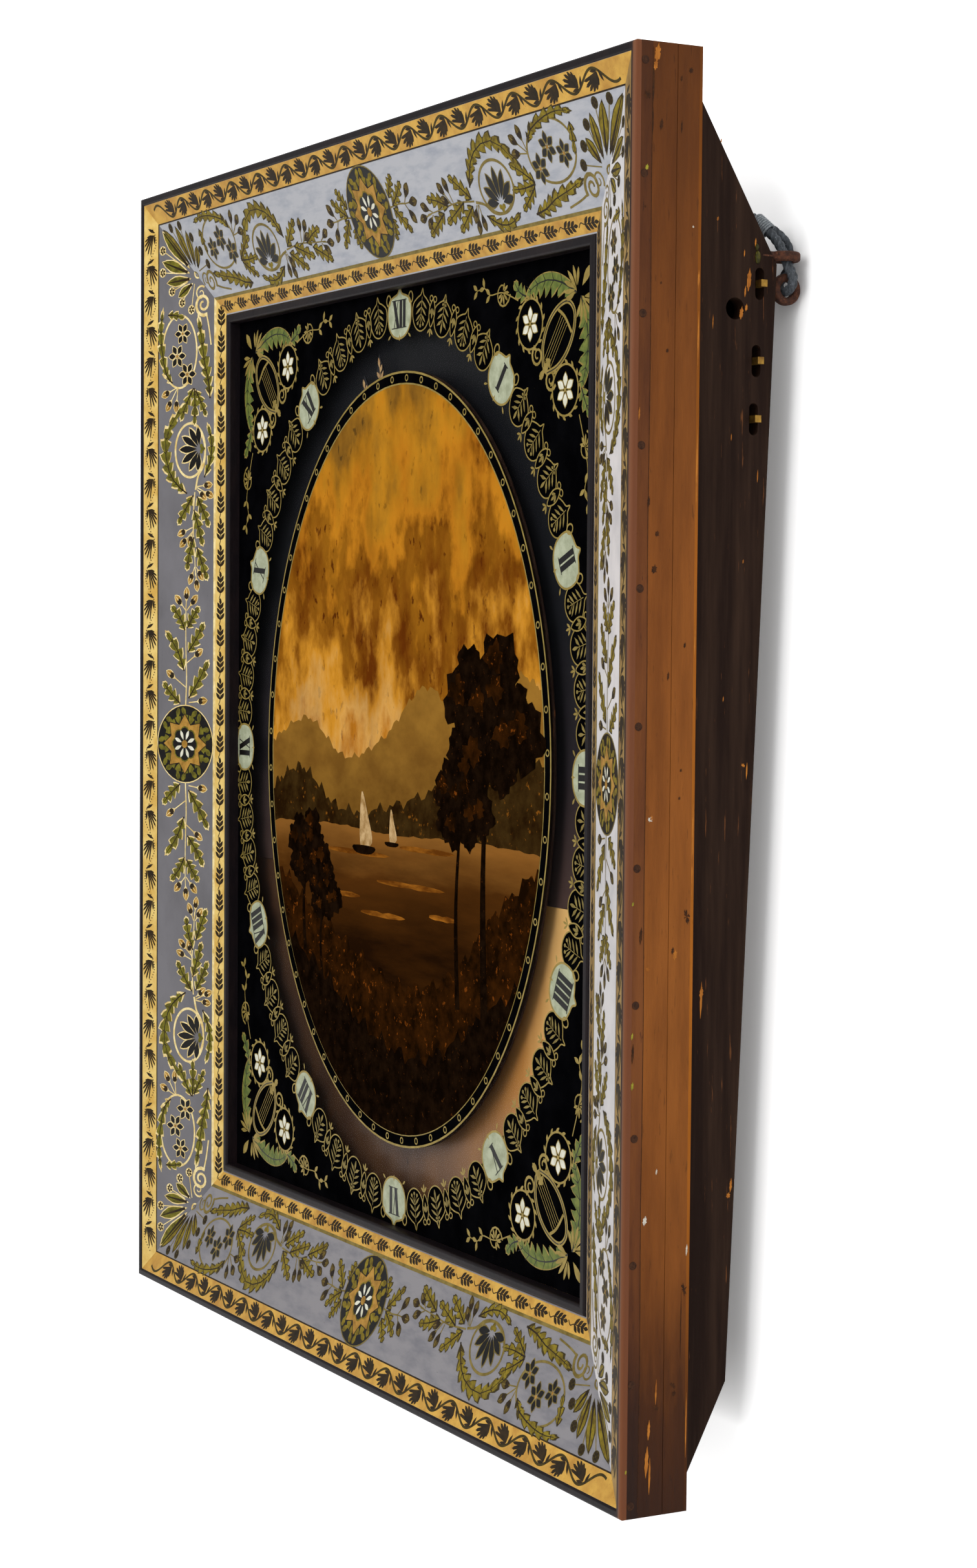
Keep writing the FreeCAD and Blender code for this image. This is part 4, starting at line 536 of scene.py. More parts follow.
@dataclass
class Studio:
    """Camera, soft lights, pale wall and floor.

    Args:
        eye: Camera's place in mm.
        yaw: Turn to the left of straight ahead, in radians.
        pitch: Tilt up, in radians.
        roll: Turn about the view, in radians.
        focal: Focal length in pixels of the photograph.
        wall_depth: Depth of the wall at mid height in mm.
        wall_lean: Lean of the wall, which is the back board's, in degrees.
        floor_height: Height of the floor in mm.
        reach: Half size of wall and floor in mm.
        shade_reach: Distance in mm within which the clock darkens the wall, a painted contact shadow.
        shade_power: How steeply it does.
        glow: Strength of the wall's own white.
        daylight: Strength of the light from all round.
        lamps: Name, place and side in metres and power in watts of each soft lamp.
    """

    eye: tuple[float, float, float] = (2163.6, -1153.87, 106.0)
    yaw: float = 1.0728
    pitch: float = -0.0512
    roll: float = 0.008
    focal: float = 4636.0
    wall_depth: float = 133.5
    wall_lean: float = 2.3
    floor_height: float = -1500.0
    reach: float = 12000.0
    shade_reach: float = 38.0
    shade_power: float = 2.0
    glow: float = 0.7
    daylight: float = 0.55
    lamps: tuple[tuple[str, tuple[float, float, float], float, float], ...] = (
        ("key", (1.0, -3.2, 1.6), 2.4, 75.0), ("side", (3.4, -0.9, 0.9), 2.0, 26.0))

    def camera(self) -> None:
        """Make the camera at the photograph's angle."""
        data = bpy.data.cameras.new("photo_camera")
        data.sensor_width = 36.0
        data.lens = self.focal * data.sensor_width / PHOTO_HEIGHT
        data.clip_start, data.clip_end = 0.05, 100.0
        ahead = Vector((-math.sin(self.yaw) * math.cos(self.pitch),
                        math.cos(self.yaw) * math.cos(self.pitch), math.sin(self.pitch)))
        right = Vector((math.cos(self.yaw), math.sin(self.yaw), 0.0))
        level = Matrix((right, right.cross(ahead), -ahead)).transposed()
        turned = level @ Matrix.Rotation(self.roll, 3, "Z")
        camera = bpy.data.objects.new("photo_camera", data)
        camera.matrix_world = Matrix.Translation(Vector(self.eye) * MM) @ turned.to_4x4()
        bpy.context.collection.objects.link(camera)
        bpy.context.scene.camera = camera

    def lamp(self, name: str, place: tuple[float, float, float], size: float, power: float) -> None:
        """Add a square soft lamp that faces the clock.

        Args:
            name: Name of the lamp.
            place: Its place in metres.
            size: Its side in metres.
            power: Its power in watts.
        """
        data = bpy.data.lights.new(name, "AREA")
        data.size, data.energy = size, power
        lamp = bpy.data.objects.new(name, data)
        lamp.location = place
        lamp.rotation_euler = (-Vector(place)).to_track_quat("-Z", "Y").to_euler()
        bpy.context.collection.objects.link(lamp)

    def backdrop(self) -> None:
        """Add the pale wall and floor, which camera and mirrors see as white and which keep the shadow.

        Both are clear from behind and let soft light through, so that the clock's back can be looked at.
        Near the clock their glow fades with ambient occlusion, a painted contact shadow.
        """
        material, tree = new_tree("white_paper")
        path = add_node(tree, "ShaderNodeLightPath")
        paper = add_node(tree, "ShaderNodeBsdfDiffuse", {"Color": colour("#ffffff")})
        # Painted contact shadow: the glow of wall and floor fades with ambient occlusion near the clock.
        painted_shadow_ao = add_node(
            tree, "ShaderNodeAmbientOcclusion", {"Distance": self.shade_reach * MM}, samples=8)
        deep = add_node(tree, "ShaderNodeMath", {0: painted_shadow_ao.outputs["AO"], 1: self.shade_power},
                        operation="POWER")
        level = add_node(tree, "ShaderNodeMath", {0: deep.outputs[0], 1: self.glow}, operation="MULTIPLY")
        glow = add_node(tree, "ShaderNodeEmission", {"Strength": level.outputs[0]})
        lit = add_node(tree, "ShaderNodeAddShader", {0: paper.outputs[0], 1: glow.outputs[0]})
        seen = add_node(tree, "ShaderNodeMath", {
            0: path.outputs["Is Camera Ray"], 1: path.outputs["Is Glossy Ray"]}, operation="MAXIMUM")
        shader = add_node(tree, "ShaderNodeMixShader", {0: seen.outputs[0], 1: paper.outputs[0],
                                                        2: lit.outputs[0]})
        rear = add_node(tree, "ShaderNodeNewGeometry").outputs["Backfacing"]
        for ray in ("Is Diffuse Ray", "Is Shadow Ray"):
            rear = add_node(tree, "ShaderNodeMath", {0: rear, 1: path.outputs[ray]},
                            operation="MAXIMUM").outputs[0]
        clear = add_node(tree, "ShaderNodeBsdfTransparent")
        sheet = add_node(tree, "ShaderNodeMixShader", {0: rear, 1: shader.outputs[0], 2: clear.outputs[0]})
        add_node(tree, "ShaderNodeOutputMaterial", {"Surface": sheet.outputs[0]})
        for name, place, turn in (
                ("wall", spot(0, self.wall_depth, 0), (math.pi / 2 - math.radians(self.wall_lean), 0, 0)),
                ("floor", Vector((0, FRONT_Y, self.floor_height * MM)), (0, 0, 0))):
            bpy.ops.mesh.primitive_plane_add(size=2 * self.reach * MM, location=place, rotation=turn)
            plane = bpy.context.object
            plane.name = name
            plane.data.materials.append(material)

    def build(self) -> None:
        """Make the camera, the world's light, the lamps and the backdrop."""
        self.camera()
        world = bpy.data.worlds.new("studio")
        bpy.context.scene.world = world
        world.use_nodes = True
        light = world.node_tree.nodes["Background"].inputs
        light["Color"].default_value = colour("#ffffff")
        light["Strength"].default_value = self.daylight
        for lamp in self.lamps:
            self.lamp(*lamp)
        self.backdrop()
        bpy.context.scene.view_settings.view_transform = "Standard"


@contextmanager
def edit_mode() -> Iterator[None]:
    """Hold the active mesh in edit mode with all of it selected."""
    bpy.ops.object.mode_set(mode="EDIT")
    bpy.ops.mesh.select_all(action="SELECT")
    yield
    bpy.ops.object.mode_set(mode="OBJECT")


def make_piece(name: str, points: list[Vector], faces: list[tuple[int, ...]], material: bpy.types.Material,
               body: str, smooth: bool = False, film: float = 0.0) -> bpy.types.Object:
    """Make a piece from vertices and faces and let it ride on a body.

    Args:
        name: Name of the piece.
        points: Vertices in metres.
        faces: Vertex numbers of each face.
        material: Its material.
        body: Body that it rides on.
        smooth: Whether its faces are shaded smooth.
        film: Thickness in mm that flat faces are given.

    Returns:
        The piece.
    """
    data = bpy.data.meshes.new(name)
    data.from_pydata(points, [], faces)
    data.materials.append(material)
    piece = bpy.data.objects.new(name, data)
    bpy.context.collection.objects.link(piece)
    bpy.ops.object.select_all(action="DESELECT")
    piece.select_set(True)
    bpy.context.view_layer.objects.active = piece
    if film:
        solid = piece.modifiers.new("film", "SOLIDIFY")
        solid.thickness, solid.offset = film * MM, -1.0
        bpy.ops.object.modifier_apply(modifier=solid.name)
    with edit_mode():
        bpy.ops.mesh.normals_make_consistent(inside=False)
    if smooth:
        bpy.ops.object.shade_smooth()
    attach(piece, body)
    return piece


@dataclass
class HangingCord:
    """Laid hemp cord from ring to ring over the hook.

    Args:
        half_route: Route of the right half in mm: across, depth and height.
        spliced_end: Route of the right half's spliced end, in the same way.
        radius: Radius in mm.
        end_radius: Radius of a spliced end in mm.
        length: Length in mm; not used.
        lay_pitch: Length of one turn of the strands in mm.
        strands: Number of strands.
        groove: Depth of the grooves between them, as a share of the radius.
        step: Distance between the tube's sections in mm.
        sides: Points round a section.
        whipping_start: Distance of the whipping from the cord's end in mm.
        whipping_turns: Turns of twine in it.
        whipping_gap: How far the twine's middle stands off the cord in mm.
        twine_radius: Radius of the twine in mm.
    """

    half_route: tuple[tuple[float, float, float], ...] = (
        (414.5, 135.0, 343.0), (425.5, 135.0, 342.0), (431.0, 134.8, 351.5), (423.6, 133.2, 361.5),
        (419.0, 130.5, 376.0), (409.0, 122.0, 389.0), (394.0, 117.0, 400.0), (8.0, 117.0, 433.0))
    spliced_end: tuple[tuple[float, float, float], ...] = (
        (414.5, 135.0, 343.0), (409.5, 136.5, 345.5), (407.5, 141.0, 354.0), (410.5, 146.0, 365.0),
        (413.0, 142.0, 378.0), (410.0, 129.0, 388.0), (402.0, 121.5, 395.0))
    radius: float = 3.6
    end_radius: float = 2.9
    length: float = 960.0
    lay_pitch: float = 20.0
    strands: int = 4
    groove: float = 0.3
    step: float = 1.6
    sides: int = 24
    whipping_start: float = 60.0
    whipping_turns: int = 8
    whipping_gap: float = 1.5
    twine_radius: float = 0.85

    def route(self, places: list[Vector]) -> list[Vector]:
        """Read the spline along places at even steps.

        Args:
            places: The spline's points in metres.

        Returns:
            Places along the cord in metres.
        """
        data = bpy.data.curves.new("cord_route", "CURVE")
        data.dimensions = "3D"
        spline = data.splines.new("NURBS")
        spline.points.add(len(places) - 1)
        for point, place in zip(spline.points, places):
            point.co = (*place, 1.0)
        spline.order_u, spline.use_endpoint_u, spline.resolution_u = 3, True, 60
        guide = bpy.data.objects.new("cord_route", data)
        bpy.context.collection.objects.link(guide)
        bpy.context.view_layer.update()
        line = [vertex.co.copy() for vertex in guide.to_mesh().vertices]
        bpy.data.objects.remove(guide)
        even, spare = [line[0]], 0.0
        for start, end in zip(line, line[1:]):
            gap = (end - start).length
            while gap and spare + gap >= self.step * MM:
                share = (self.step * MM - spare) / gap
                start = start.lerp(end, share)
                even.append(start)
                gap, spare = (end - start).length, 0.0
            spare += gap
        return even

    def sweep(self, name: str, path: list[Vector], radius: float, paints: Paints) -> bpy.types.Object:
        """Sweep the lobed section along a path.

        Args:
            name: Name of the piece.
            path: Places along it in metres.
            radius: Radius in mm.
            paints: The materials.

        Returns:
            The piece.
        """
        points, faces = [], []
        side = Vector((0, 1, 0))
        for index, place in enumerate(path):
            ahead = (path[min(index + 1, len(path) - 1)] - path[max(index - 1, 0)]).normalized()
            side = (side - ahead * side.dot(ahead)).normalized()
            across = ahead.cross(side)
            twist = 2 * math.pi * index * self.step / self.lay_pitch
            for corner in range(self.sides):
                angle = 2 * math.pi * corner / self.sides
                lobe = abs(math.sin(self.strands * (angle - twist) / 2))
                reach = radius * MM * (1 - self.groove + self.groove * lobe)
                points.append(place + reach * (math.cos(angle) * side + math.sin(angle) * across))
        for index in range(len(path) - 1):
            low, high = index * self.sides, (index + 1) * self.sides
            for corner in range(self.sides):
                turn = (corner + 1) % self.sides
                faces.append((low + corner, low + turn, high + turn, high + corner))
        faces += [tuple(reversed(range(self.sides))), tuple(range(len(points) - self.sides, len(points)))]
        piece = make_piece(name, points, faces, paints.of(HEMP), "case", smooth=True)
        return piece

    def whipping(self, name: str, path: list[Vector], paints: Paints) -> bpy.types.Object:
        """Model the turns of twine that bind the spliced end to the cord.

        Args:
            name: Name of the piece.
            path: Places along the cord in metres, from its end.
            paints: The materials.

        Returns:
            The piece.
        """
        bpy.ops.object.select_all(action="DESELECT")
        turns = []
        for turn in range(self.whipping_turns):
            place = int((self.whipping_start + 2 * self.twine_radius * turn) / self.step)
            ahead = (path[place + 1] - path[place - 1]).normalized()
            bpy.ops.mesh.primitive_torus_add(
                major_segments=28, minor_segments=8, major_radius=(self.radius + self.whipping_gap) * MM,
                minor_radius=self.twine_radius * MM,
                location=path[place], rotation=ahead.to_track_quat("Z", "X").to_euler())
            turns.append(bpy.context.object)
        for turn in turns:
            turn.select_set(True)
        bpy.ops.object.join()
        bpy.ops.object.transform_apply(location=True, rotation=True, scale=True)
        bpy.ops.object.shade_smooth()
        piece = bpy.context.object
        piece.name = name
        piece.data.materials.append(paints.of(TWINE))
        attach(piece, "case")
        return piece

    def build(self, paints: Paints) -> None:
        """Args:
            paints: The materials.
        """
        halves = [[spot(*place) for place in places] for places in (self.half_route, self.spliced_end)]
        right, end = halves
        left, far_end = ([Vector((-place.x, place.y, place.z)) for place in half] for half in halves)
        path = self.route([*right, *reversed(left)])
        piece = self.sweep("laid_cord", path, self.radius, paints)
        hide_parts("hanging_cord")
        for name, places, line in (("right", end, path), ("left", far_end, path[::-1])):
            self.sweep(f"spliced_end_{name}", self.route(places), self.end_radius, paints)
            self.whipping(f"twine_whipping_{name}", line, paints)


def smooth(points: Iterable[Point], steps: int = 5, closed: bool = False) -> list[Point]:
    """Draw a smooth line through points.

    Args:
        points: Points to pass through.
        steps: Pieces between two points.
        closed: Whether the line runs back to its start.

    Returns:
        Points along the line.
    """
    knots = [Vector(point) for point in points]
    count = len(knots)
    line = []
    for index in range(count if closed else count - 1):
        near = [knots[(index + shift) % count] if closed else knots[min(max(index + shift, 0), count - 1)]
                for shift in (-1, 0, 1, 2)]
        hands = near[1] + (near[2] - near[0]) / 6, near[2] - (near[3] - near[1]) / 6
        line += interpolate_bezier(near[1], *hands, near[2], steps + 1)[:-1]
    return line if closed else line + [knots[-1]]


def walk(line: list[Point], share: float) -> tuple[Vector, Vector]:
    """Find a place along a line.

    Args:
        line: The line's points.
        share: Share of the line from its start.

    Returns:
        The place, and the direction a quarter turn to the left of the line there.
    """
    place = min(max(share, 0.0), 0.9999) * (len(line) - 1)
    start, end = Vector(line[int(place)]), Vector(line[int(place) + 1])
    ahead = (end - start).normalized()
    return start.lerp(end, place - int(place)), Vector((-ahead.y, ahead.x))


def lobed(axis: Iterable[Point], width: float, lobes: int, plain: int = 0) -> list[Point]:
    """Draw a lobed leaf round an axis.

    Args:
        axis: Points from the leaf's base to its tip.
        width: Greatest width.
        lobes: Lobes on each side.
        plain: 1 or -1 where the left or the right side is a plain curve, or 0.

    Returns:
        The outline.
    """
    line = smooth(axis)
    sides = {1: [], -1: []}
    for lobe in range(lobes):
        for shift, reach in ((0.02, 0.36), (0.45, 0.82), (0.88, 1.06), (0.93, 0.6)):
            share = (lobe + shift) / lobes
            half = width / 2 * math.sin(math.pi * (0.1 + 0.86 * share)) ** 0.6
            place, aside = walk(line, 0.04 + 0.9 * share)
            for side, points in sides.items():
                points.append(place + side * half * (0.5 if side == plain else reach) * aside)
    return [line[0], *sides[1], line[-1], *reversed(sides[-1])]


def drop(base: Point, tip: Point, width: float, profile: tuple[Point, ...] = ROUND_END) -> list[Point]:
    """Draw a petal.

    Args:
        base: Narrow end.
        tip: Far end.
        width: Greatest width.
        profile: Share of the length and share of the width of each point of its edge.

    Returns:
        The outline.
    """
    start, end = Vector(base), Vector(tip)
    aside = Vector((start.y - end.y, end.x - start.x)).normalized() * width / 2
    left = [start.lerp(end, share) + aside * reach for share, reach in profile]
    right = [start.lerp(end, share) - aside * reach for share, reach in reversed(profile)]
    return [start, *left, end, *right]


def polar(reach: float, degrees: float, centre: Point = (0, 0)) -> Point:
    """Find a point by its distance and direction.

    Args:
        reach: Distance from the centre.
        degrees: Direction, anticlockwise from the right.
        centre: Where it is measured from.

    Returns:
        The point.
    """
    angle = math.radians(degrees)
    return centre[0] + reach * math.cos(angle), centre[1] + reach * math.sin(angle)


def tremor(index: int, start: float = 0.0) -> float:
    """Give one of a row of uneven values.

    Args:
        index: Its number in the row.
        start: Where the row starts.

    Returns:
        A value from -1 to 1.
    """
    return (math.sin(2.3 * index + start) + math.sin(5.1 * index)) / 2


def ragged(outline: list[Point], size: float) -> list[Point]:
    """Make an outline uneven.

    Args:
        outline: The outline.
        size: How far its points move.

    Returns:
        The uneven outline.
    """
    places = [Vector(point) for point in outline]
    middle = sum(places, Vector((0, 0))) / len(places)
    start = outline[0][0] + 0.7 * outline[0][1]
    return [place + (place - middle).normalized() * size * tremor(index, start)
            for index, place in enumerate(places)]


def round_line(centre: Point, radii: Point, count: int, start: float = 0.0,
               turns: float = 1.0) -> list[Point]:
    """Draw an oval, a part of one, or several turns.

    Args:
        centre: Its centre.
        radii: Its half width and half height.
        count: Number of points.
        start: Angle of the first point, in degrees.
        turns: Turns made.

    Returns:
        The points, without the first one again at the end.
    """
    angles = [math.radians(start + 360 * turns * index / count) for index in range(count)]
    return [(centre[0] + radii[0] * math.cos(angle),
             centre[1] + radii[1] * math.sin(angle)) for angle in angles]


def coil(centre: Point, radius: float, start: float, turns: float) -> list[Point]:
    """Draw a volute from its outside to its eye.

    Args:
        centre: Its centre.
        radius: Its outer radius.
        start: Angle of its outer end, in degrees.
        turns: Turns made, negative for clockwise.

    Returns:
        Points along it.
    """
    count = max(6, round(abs(turns) * 14))
    return [polar(radius * (1 - 0.8 * k / count), start + 360 * turns * k / count, centre)
            for k in range(count + 1)]


@dataclass
class Artwork(ABC):
    """Flat painted shapes, drawn in mm on one plane and gathered by paint.

    Args:
        name: Start of the pieces' names.
        finishes: Finish of each paint.
        body: Body that the pieces ride on.
        slot: Material slot of the pieces; not used.
        film: Thickness of the paint in mm.
        layer: Height of one layer over another in mm.
        stagger: Share of a layer over which the shapes of one paint are spread, so that they never coincide.
        stagger_steps: Number of heights in it.
        patches: Points and faces drawn so far for each paint.
        origin: Where shapes are drawn from.
        right: Direction of a point's first number.
        up: Direction of its second number.
    """

    name: str
    finishes: dict[Paint, Finish]
    body: str = "front"
    slot: str = "painted_glass"
    film: float = 0.02
    layer: float = 0.06
    stagger: float = 0.8
    stagger_steps: int = 41
    patches: dict[Paint, tuple[list[Vector], list[tuple[int, ...]]]] = field(default_factory=dict)
    origin: Vector = field(default_factory=lambda: Vector((0, 0)))
    right: Vector = field(default_factory=lambda: Vector((1, 0)))
    up: Vector = field(default_factory=lambda: Vector((0, 1)))

    def plane(self, x: float, z: float, lift: float) -> Vector:
        """Turn a place on the dial into one in the shared frame.

        Args:
            x: Distance to the right.
            z: Height.
            lift: Height over the glass.

        Returns:
            The place.
        """
        return spot(x, DIAL_DEPTH - lift, z)

    @abstractmethod
    def draw(self) -> None:
        """Draw the shapes."""

    def stand(self, origin: Point = (0, 0), right: Point = (1, 0), up: Point = (0, 1)) -> None:
        """Move the place that the next shapes are drawn from.

        Args:
            origin: New origin.
            right: Direction of the first number.
            up: Direction of the second number.
        """
        self.origin, self.right, self.up = Vector(origin), Vector(right), Vector(up)

    def add(self, paint: Paint, level: int, points: list[Point], faces: list[tuple[int, ...]]) -> None:
        """Add faces in one paint.

        Args:
            paint: The paint.
            level: Layer that they lie on.
            points: Their corners.
            faces: Numbers of the corners of each face.
        """
        places, patches = self.patches.setdefault(paint, ([], []))
        first = len(places)
        lift = self.layer * (
            level + 1 + self.stagger * (len(patches) % self.stagger_steps) / self.stagger_steps)
        for point in points:
            flat = self.origin + point[0] * self.right + point[1] * self.up
            places.append(self.plane(flat.x, flat.y, lift))
        for face in faces:
            loop = [first + corner for corner in face]
            faces_back = normal([places[corner] for corner in loop[:4]]).y > 0
            patches.append(tuple(reversed(loop) if faces_back else loop))

    def fill(self, paint: Paint, level: int, outline: list[Point]) -> None:
        """Fill an outline.

        Args:
            paint: The paint.
            level: Layer that it lies on.
            outline: The outline.
        """
        corners = tessellate_polygon([[Vector((*point, 0.0)) for point in outline]])
        self.add(paint, level, outline, [tuple(face) for face in corners])

    def stroke(self, paint: Paint, level: int, line: list[Point], width: float, end: float | None = None,
               closed: bool = False) -> None:
        """Draw a line with a brush.

        Args:
            paint: The paint.
            level: Layer that it lies on.
            line: The line.
            width: Width at its start.
            end: Width at its end, if another.
            closed: Whether it runs back to its start.
        """
        end = width if end is None else end
        count = len(line)
        points = []
        for index, point in enumerate(line):
            before = line[(index - 1) % count] if closed else line[max(index - 1, 0)]
            after = line[(index + 1) % count] if closed else line[min(index + 1, count - 1)]
            ahead = (Vector(after) - Vector(before)).normalized()
            half = (width + (end - width) * index / max(count - 1, 1)) / 2
            aside = Vector((-ahead.y, ahead.x)) * half
            points += [Vector(point) + aside, Vector(point) - aside]
        spans = range(count if closed else count - 1)
        self.add(paint, level, points, [
            (2 * i, 2 * i + 1, (2 * i + 3) % (2 * count), (2 * i + 2) % (2 * count)) for i in spans])

    def disc(self, paint: Paint, level: int, centre: Point, radius: float, count: int = 12) -> None:
        """Fill a disc.

        Args:
            paint: The paint.
            level: Layer that it lies on.
            centre: Its centre.
            radius: Its radius.
            count: Corners round it.
        """
        self.add(paint, level, round_line(centre, (radius, radius), count), [tuple(range(count))])

    def ring(self, paint: Paint, level: int, centre: Point, radii: Point, width: float,
             count: int = 20) -> None:
        """Draw an oval ring.

        Args:
            paint: The paint.
            level: Layer that it lies on.
            centre: Its centre.
            radii: Its half width and half height.
            width: Width of the line.
            count: Corners round it.
        """
        self.stroke(paint, level, round_line(centre, radii, count), width, closed=True)

    def leaf(self, axis: Iterable[Point], width: float, lobes: int = 4, paint: Paint = Paint.LEAF,
             plain: int = 0) -> None:
        """Draw an edged leaf with a dark vein.

        Args:
            axis: Points from its base to its tip.
            width: Its width.
            lobes: Lobes on each side.
            paint: Its paint.
            plain: 1 or -1 where the left or the right side has no lobes.
        """
        axis = list(axis)
        self.fill(Paint.EDGE, 1, lobed(axis, width + 1.8, lobes, plain))
        line = smooth(axis)
        inner = [walk(line, share)[0] for share in (0.06, 0.35, 0.65, 0.93)]
        self.fill(paint, 2, lobed(inner, width - 0.4, lobes, plain))
        self.stroke(Paint.DARK, 3, [walk(line, share / 8)[0] for share in range(8)], 1.5, 0.5)
        for share in range(1, lobes):
            for side in (1, -1):
                place, aside = walk(line, (share - 0.25) / lobes)
                ahead = Vector((aside.y, -aside.x))
                end = place + (side * aside * 0.26 + ahead * 0.2) * width
                self.stroke(Paint.DARK, 3, [place, end], 0.9, 0.3)

    def acorn(self, foot: Point, centre: Point, size: float = 6.0) -> None:
        """Draw an acorn on its stalk.

        Args:
            foot: Where the stalk starts.
            centre: Middle of the acorn.
            size: Its width.
        """
        ahead = (Vector(centre) - Vector(foot)).normalized()
        cup, tip = Vector(centre) - ahead * size * 0.7, Vector(centre) + ahead * size * 0.85
        self.stroke(Paint.LINE, 1, [foot, cup], 1.0)
        self.fill(Paint.EDGE, 1, drop(cup - ahead * size * 0.7, tip + ahead, size + 1.6))
        self.fill(Paint.NUT, 2, drop(cup - ahead * size * 0.3, tip, size))
        self.disc(Paint.DARK, 3, cup + ahead * size * 0.25, size * 0.5, 8)
        self.stroke(Paint.LINE, 4, [cup + ahead * size * 0.55, tip - ahead], 1.0, 0.4)

    def fan(self, centre: Point, aim: float, spread: float, count: int, length: float, width: float,
            paint: Paint = Paint.DARK, level: int = 3, shorten: float = 0.9) -> None:
        """Draw petals that spread like a fan.

        Args:
            centre: Where they start.
            aim: Direction of the middle one, in degrees.
            spread: Angle between the outer ones, in degrees.
            count: Number of petals.
            length: Length of the middle one.
            width: Width of a petal.
            paint: Their paint.
            level: Layer that they lie on.
            shorten: How much shorter the outer ones are.
        """
        for index in range(count):
            share = index / (count - 1) - 0.5
            degrees = aim + spread * share
            tip = polar(length * (1 - shorten * share * share), degrees, centre)
            self.fill(paint, level, drop(polar(0.14 * length, degrees, centre), tip, width))

    def flower(self, centre: Point, radius: float, petals: int, paint: Paint, heart: Paint) -> None:
        """Draw an edged flower seen from the front.

        Args:
            centre: Its centre.
            radius: Its radius.
            petals: Number of petals.
            paint: Paint of the petals.
            heart: Paint of the middle.
        """
        step = 360 / petals
        width = 0.98 * radius * math.sin(math.radians(step / 2))
        for index in range(petals):
            away, middle = Vector(polar(1.0, 90 + step * index)), Vector(centre)
            for edge, coat, level in ((1.0, Paint.LINE, 1), (0.0, paint, 2)):
                self.fill(coat, level, drop(middle + (0.2 * radius - edge) * away,
                                            middle + (radius + edge) * away, width + 1.5 * edge, POINTED_END))
        self.disc(heart, 3, centre, radius * 0.14, 8)

    def build(self, paints: Paints) -> None:
        """Draw the shapes and make one thin piece of each paint.

        Args:
            paints: The materials.
        """
        self.draw()
        for paint, (places, faces) in self.patches.items():
            coat = paints.of(self.finishes[paint])
            piece = make_piece(f"{self.name}_{paint.value}", places, faces, coat, self.body, film=self.film)


class Side(Enum):
    """The four canted glass panels."""

    TOP = "top"
    BOTTOM = "bottom"
    LEFT = "left"
    RIGHT = "right"


@dataclass(frozen=True)
class OakSpray:
    """Stem, leaves and acorns of one spray, by their places on the right half of a panel.

    Args:
        stem: Points along the stem.
        stem_widths: Its width at the start and at the end.
        leaf_width: Width of a leaf.
        leaves: Axis of each leaf.
        acorns: Foot and middle of each acorn.
        acorn_size: Width of an acorn.
    """

    stem: tuple[Point, ...]
    stem_widths: Point
    leaf_width: float
    leaves: tuple[tuple[Point, ...], ...]
    acorns: tuple[tuple[Point, Point], ...]
    acorn_size: float = 6.0

    def draw(self, art: Artwork) -> None:
        """Draw the spray.

        Args:
            art: Artwork to draw on.
        """
        art.stroke(Paint.LINE, 1, smooth(self.stem), *self.stem_widths)
        for axis in self.leaves:
            art.leaf(axis, self.leaf_width)
        for foot, centre in self.acorns:
            art.acorn(foot, centre, self.acorn_size)


# Sprig beside the medallion on a short panel and on a long one, and the branch that hangs from the ring.
SHORT_SPRIG = OakSpray(
    ((36, 62), (50, 61), (61, 62)), (1.3, 1.3), 10.5,
    (((37, 55), (44, 46), (50, 38)), ((40, 61), (52, 54), (63, 45)), ((40, 63), (50, 73), (61, 84)),
     ((34, 70), (34, 78), (31, 87))),
    (((60, 62), (69, 52)), ((60, 62), (75, 62)), ((60, 62), (68, 73))))
LONG_SPRIG = OakSpray(
    ((36, 62), (62, 63), (92, 62), (124, 62)), (1.5, 0.9), 12.5,
    (((37, 55), (46, 43), (57, 32)), ((67, 60), (86, 51), (104, 35)), ((104, 61), (116, 54), (127, 42)),
     ((84, 65), (97, 76), (112, 86)), ((42, 66), (60, 80), (78, 92)), ((106, 64), (116, 71), (126, 80))),
    (((52, 62), (64, 42)), ((122, 62), (132, 52)), ((124, 62), (138, 63)), ((122, 63), (132, 73)),
     ((38, 66), (40, 84)), ((74, 63), (84, 79))))
BRANCH = OakSpray(
    ((168, 73), (140, 71), (112, 73), (92, 74)), (1.4, 0.8), 11.5,
    (((127, 72), (111, 66), (96, 63)), ((118, 76), (102, 83), (87, 90)), ((165, 71), (151, 60), (138, 51)),
     ((152, 72), (135, 78), (118, 84)), ((164, 76), (150, 84), (135, 92))),
    (((100, 73), (89, 68)), ((98, 74), (83, 76)), ((100, 75), (92, 81)), ((132, 70), (122, 58)),
     ((136, 70), (131, 56)), ((134, 71), (123, 67)), ((170, 76), (164, 84)), ((172, 76), (165, 92)),
     ((173, 76), (174, 90))), 5.6)


